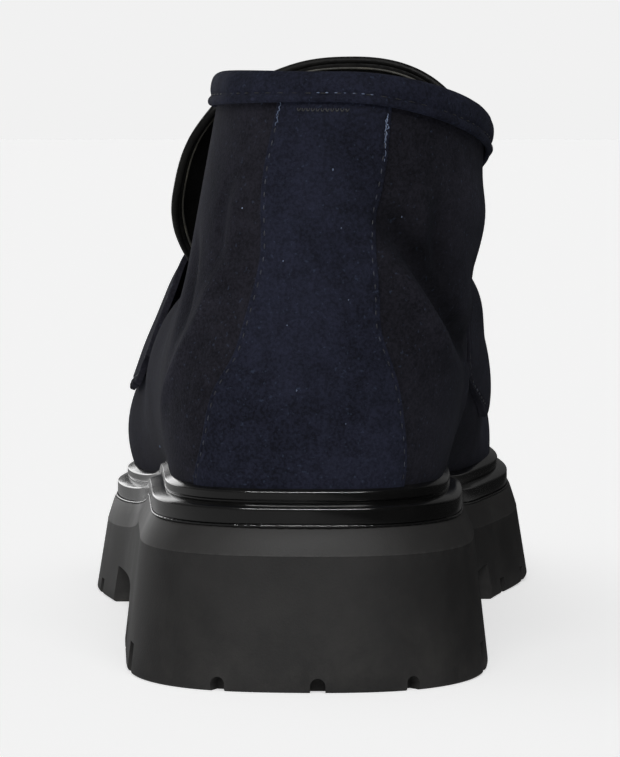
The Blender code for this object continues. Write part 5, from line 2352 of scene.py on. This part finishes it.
@dataclass
class Needlework:
    """Every visible row of stitches, the loose thread tails and the lint."""

    upper: Upper
    binding: CollarBinding
    strap: SaddleStrap
    groups: Groups
    threads: tuple[Thread, ...] = (
        Thread("navy_thread", (0.008, 0.011, 0.022), (0.038, 0.054, 0.104)),
        Thread("pale_thread", (0.10, 0.14, 0.24), (0.34, 0.42, 0.62)),
        Thread("dim_thread", (0.002, 0.0025, 0.005), (0.009, 0.011, 0.021)),
    )
    panel_stitch: Stitch = Stitch(1.2, 1.7, 0.29)
    collar_stitch: Stitch = Stitch(1.6, 1.8, 0.25)
    back_stitch: Stitch = Stitch(0.75, 1.25, 0.3)
    strap_stitch: Stitch = Stitch(2.4, 1.0, 0.5)
    apron_stitch: Stitch = Stitch(2.6, 1.2, 0.55)
    collar_row: tuple[float, float, float, int] = (-0.31, 0.31, -3.15, 900)
    back_row: tuple[float, float, float, int] = (-0.020, 0.030, -3.05, 120)
    apron_out: float = -0.2
    apron_shift: float = 0.034
    loops: int = 11
    loop_ways: tuple[float, float] = (-0.031, 0.007)
    loop_half: float = 0.0012
    loop_level: float = 0.932
    loop_drop: float = 0.008
    loop_radius: float = 0.15
    tail_lift: float = 0.58
    tail_curl: float = 0.24
    panel_half: float = 0.035
    lint_lift: float = 0.05
    lint_shape: tuple[float, ...] = (1.0, 0.6, 1.3, 1.0)
    strands: tuple[Strand, ...] = (
        Strand(-1, 0.948, 0.060, 0.10, 3.3, 0.0, 0.10),
        Strand(-1, 0.930, 0.036, 0.28, 2.3, 1.4, 0.09),
        Strand(1, 0.928, 0.070, 0.14, 3.1, 0.6, 0.10),
        Strand(1, 0.920, 0.030, 0.38, 2.3, 2.2, 0.12),
        Strand(1, 0.905, 0.090, 0.30, 1.6, 3.9, 0.09),
    )
    lint_ways: tuple[float, ...] = (
        0.001, -0.030, -0.006, -0.020, 0.020, 0.060, -0.072, 0.030, -0.395, -0.060, 0.010,
    )
    lint_levels: tuple[float, ...] = (0.79, 0.585, 0.285, 0.44, 0.50, 0.70, 0.70, 0.20, 0.06, 0.12, 0.66)
    lint_radii: tuple[float, ...] = (0.25, 0.17, 0.19, 0.16, 0.14, 0.17, 0.16, 0.14, 0.27, 0.16, 0.14)

    def build(self) -> None:
        """Makes the thread pieces."""
        navy, pale, dim = (thread.material(self.groups) for thread in self.threads)
        panel = [self.upper.panel_stitch_line(side) for side in (-1, 1)]
        self.rows("panel_stitches", panel, self.panel_stitch, navy)
        collar = [self.binding.stitch_line(*self.collar_row)]
        self.rows("collar_stitches", collar, self.collar_stitch, dim)
        back = [self.binding.stitch_line(*self.back_row)]
        self.rows("collar_back_stitches", back, self.back_stitch, pale)
        self.make_loops(dim)
        strap = [self.strap.stitch_line(side) for side in (-1, 1)]
        self.rows("strap_stitches", strap, self.strap_stitch, navy)
        apron = [self.upper.apron_line(self.apron_out, side * self.apron_shift) for side in (1, -1)]
        self.rows("apron_stitches", apron, self.apron_stitch, navy)
        self.make_tails(pale)
        self.make_lint(pale)

    def rows(self, name: str, lines: Sequence[Line], stitch: Stitch, finish: Material) -> None:
        """One piece of several rows of stitches.

        Args:
            name: the piece's name.
            lines: the rows, each a line and its normals.
            stitch: the stitches' size.
            finish: their material.
        """
        form = bmesh.new()
        count = sum(sew(form, line, normals, stitch) for line, normals in lines)
        make_piece(name, form, [finish], "upper_suede")
        LOG.info("%s: %d stitches", name, count)

    def lay_thread(self, form: Form, way: Array, level: Array, lift: Amount, radius: float) -> None:
        """Lays a thread over the upper.

        Args:
            form: the mesh under construction.
            way: its places round the outline.
            level: its levels.
            lift: how far off the face it lies.
            radius: its radius.
        """
        last = self.upper.last
        lay_tube(form, last.face(way, level, lift), last.normal(way, level), radius)

    def make_loops(self, finish: Material) -> None:
        """The short row of small thread loops that holds the band down at the heel's back.

        Args:
            finish: their material.
        """
        form = bmesh.new()
        turn = np.linspace(0, np.pi, 12)
        lift = self.upper.panel_lift + self.upper.panel_thickness
        for middle in np.linspace(*self.loop_ways, self.loops):
            way = middle - self.loop_half * np.cos(turn)
            level = self.loop_level - self.loop_drop * np.sin(turn)
            self.lay_thread(form, way, level, lift, self.loop_radius)
        close_up(form)
        make_piece("binding_loops", form, [finish], "upper_suede")

    def make_tails(self, finish: Material) -> None:
        """The back-tacked thread ends at the top of both panel seams.

        Args:
            finish: their material.
        """
        form = bmesh.new()
        part = np.linspace(0, 1, 60)
        for strand in self.strands:
            level = strand.top - strand.height * part
            swing = np.sin(part * strand.turns * np.pi + strand.phase)
            sway = strand.sway * (0.4 + part) / self.upper.way_length * swing
            lift = self.tail_lift + self.tail_curl * np.sin(part * 9.3 * np.pi + strand.phase)
            way = self.upper.seam_way(level, strand.side) + sway
            self.lay_thread(form, way, level, lift, strand.radius)
        close_up(form)
        make_piece("thread_tails", form, [finish], "upper_suede")

    def make_lint(self, finish: Material) -> None:
        """A few specks of lint caught in the nap.

        Args:
            finish: their material.
        """
        form = bmesh.new()
        way = np.array(self.lint_ways)
        on_panel = np.abs(way) < self.panel_half
        lift = self.lint_lift + on_panel * (self.upper.panel_lift + self.upper.panel_thickness)
        points = self.upper.last.face(way, np.array(self.lint_levels), lift)
        for point, radius in zip(points, self.lint_radii):
            matrix = Matrix.Translation(Vector(point * MM)) @ Matrix.Diagonal(self.lint_shape)
            bmesh.ops.create_icosphere(form, subdivisions=1, radius=radius * MM, matrix=matrix)
        make_piece("lint_specks", form, [finish], "upper_suede")


# ---------------------------------------------------------------- the studio


@dataclass(frozen=True)
class Softbox:
    """A rectangle of soft light: where it stands, what it looks at, its size and its power."""

    name: str
    place: Spot
    target: Spot
    width: float
    height: float
    power: float


@dataclass
class Studio:
    """Pale floor and backdrop, soft light, and the camera behind the heel."""

    groups: Groups
    floor_size: float = 30.0
    eye: Spot = (0.05715, -1.084, 0.1247)
    aim: Spot = (0.0026, 0.0, 0.0598)
    lens: float = 203.8
    sensor: float = 36.0
    clip: tuple[float, float] = (0.05, 100.0)
    backdrop: float = 0.88
    ambient: float = 0.28
    ambient_far: float = 0.08
    ambient_range: tuple[float, float] = (-0.6, 0.9)
    mirrored: float = 0.12
    mirrored_far: float = 0.01
    mirrored_range: tuple[float, float] = (-0.4, 0.8)
    sun_from: Spot = (0.08, -0.9, 0.95)
    sun_strength: float = 1.02
    sun_spread: float = math.radians(42.0)
    boxes: tuple[Softbox, ...] = (
        Softbox("overhead_strip", (0.02, -1.6, 1.35), (0.0, -0.12, 0.05), 2.3, 0.14, 60.0),
        Softbox("front_left_panel", (-1.15, 2.1, 0.5), (0.0, 0.0, 0.05), 1.4, 1.1, 9.0),
    )

    def build(self) -> None:
        """Makes the floor, the lights, the backdrop's tone and the camera."""
        form = bmesh.new()
        bmesh.ops.create_grid(form, x_segments=1, y_segments=1, size=self.floor_size)
        mesh = bpy.data.meshes.new("floor")
        form.to_mesh(mesh)
        form.free()
        mesh.materials.append(PaleStage().material(self.groups))
        floor = self.put("floor", mesh)
        for box in self.boxes:
            self.add_softbox(box)
        self.add_sun()
        self.set_world()
        self.set_camera()

    def put(
        self, name: str, data: bpy.types.ID, place: Spot = (0, 0, 0), aim: Vector | None = None
    ) -> Piece:
        """Puts something into the scene.

        Args:
            name: its name.
            data: its mesh, light or camera.
            place: where it stands, in metres.
            aim: which way it points.

        Returns:
            The object.
        """
        thing = bpy.data.objects.new(name, data)
        thing.location = place
        if aim:
            thing.rotation_euler = aim.to_track_quat("-Z", "Y").to_euler()
        bpy.context.scene.collection.objects.link(thing)
        return thing

    def add_softbox(self, box: Softbox) -> None:
        """Adds one rectangular light, seen only where it is mirrored.

        Args:
            box: the light.
        """
        light = bpy.data.lights.new(box.name, "AREA")
        light.shape = "RECTANGLE"
        light.size, light.size_y, light.energy = box.width, box.height, box.power
        lamp = self.put(box.name, light, box.place, Vector(box.target) - Vector(box.place))
        lamp.visible_diffuse = False

    def add_sun(self) -> None:
        """Adds the even key light, as wide as a large softbox."""
        light = bpy.data.lights.new("key", "SUN")
        light.energy, light.angle = self.sun_strength, self.sun_spread
        self.put("key", light, aim=-Vector(self.sun_from)).visible_glossy = False

    def set_world(self) -> None:
        """A pale backdrop whose light on the shoe is softer than its own tone."""
        world = bpy.data.worlds.new("studio")
        world.use_nodes = True
        bench = Bench(world.node_tree)
        ray = bench.add("ShaderNodeLightPath")
        side = bench.part(bench.place(), "X")
        around = bench.ramp(side, *self.ambient_range, self.ambient, self.ambient_far)
        mirrored = bench.ramp(side, *self.mirrored_range, self.mirrored, self.mirrored_far)
        strength = bench.between(ray.outputs["Is Glossy Ray"], around, mirrored)
        strength = bench.between(ray.outputs["Is Camera Ray"], strength, self.backdrop)
        back = world.node_tree.nodes["Background"]
        bench.fill(back, {"Color": (1.0, 1.0, 1.0, 1.0), "Strength": strength})
        bpy.context.scene.world = world

    def set_camera(self) -> None:
        """The camera, level with the collar, straight behind the heel."""
        data = bpy.data.cameras.new("camera")
        data.lens, data.sensor_width = self.lens, self.sensor
        data.clip_start, data.clip_end = self.clip
        bpy.context.scene.camera = self.put("camera", data, self.eye, Vector(self.aim) - Vector(self.eye))


def main() -> None:
    """Builds the studio, then the shoe from the sole up."""
    logging.basicConfig(level=logging.INFO, format="%(name)s %(message)s")
    scene = bpy.context.scene
    for name in ("Cube", "Light", "Camera"):
        if name in bpy.data.objects:
            bpy.data.objects.remove(bpy.data.objects[name])
    scene.view_settings.view_transform = "Standard"
    last, groups = Last(), Groups()
    Studio(groups).build()
    quarter = Suede("quarter_suede", (0.0054, 0.0053, 0.0078), (0.0250, 0.0241, 0.0336)).material(groups)
    navy = Suede("navy_suede").material(groups)
    lining = LiningLeather().material(groups)
    piping = Thread("piping_thread", (0.045, 0.042, 0.030), (0.12, 0.11, 0.08)).material(groups)
    SoleUnit(last, groups).build()
    upper = Upper(last, groups, quarter, navy, lining)
    upper.build()
    binding = CollarBinding(last, navy)
    binding.build()
    strap = SaddleStrap(last, quarter)
    strap.build()
    Tongue(last, strap, quarter, lining, piping).build()
    Needlework(upper, binding, strap, groups).build()


if __name__ == "__main__":
    main()
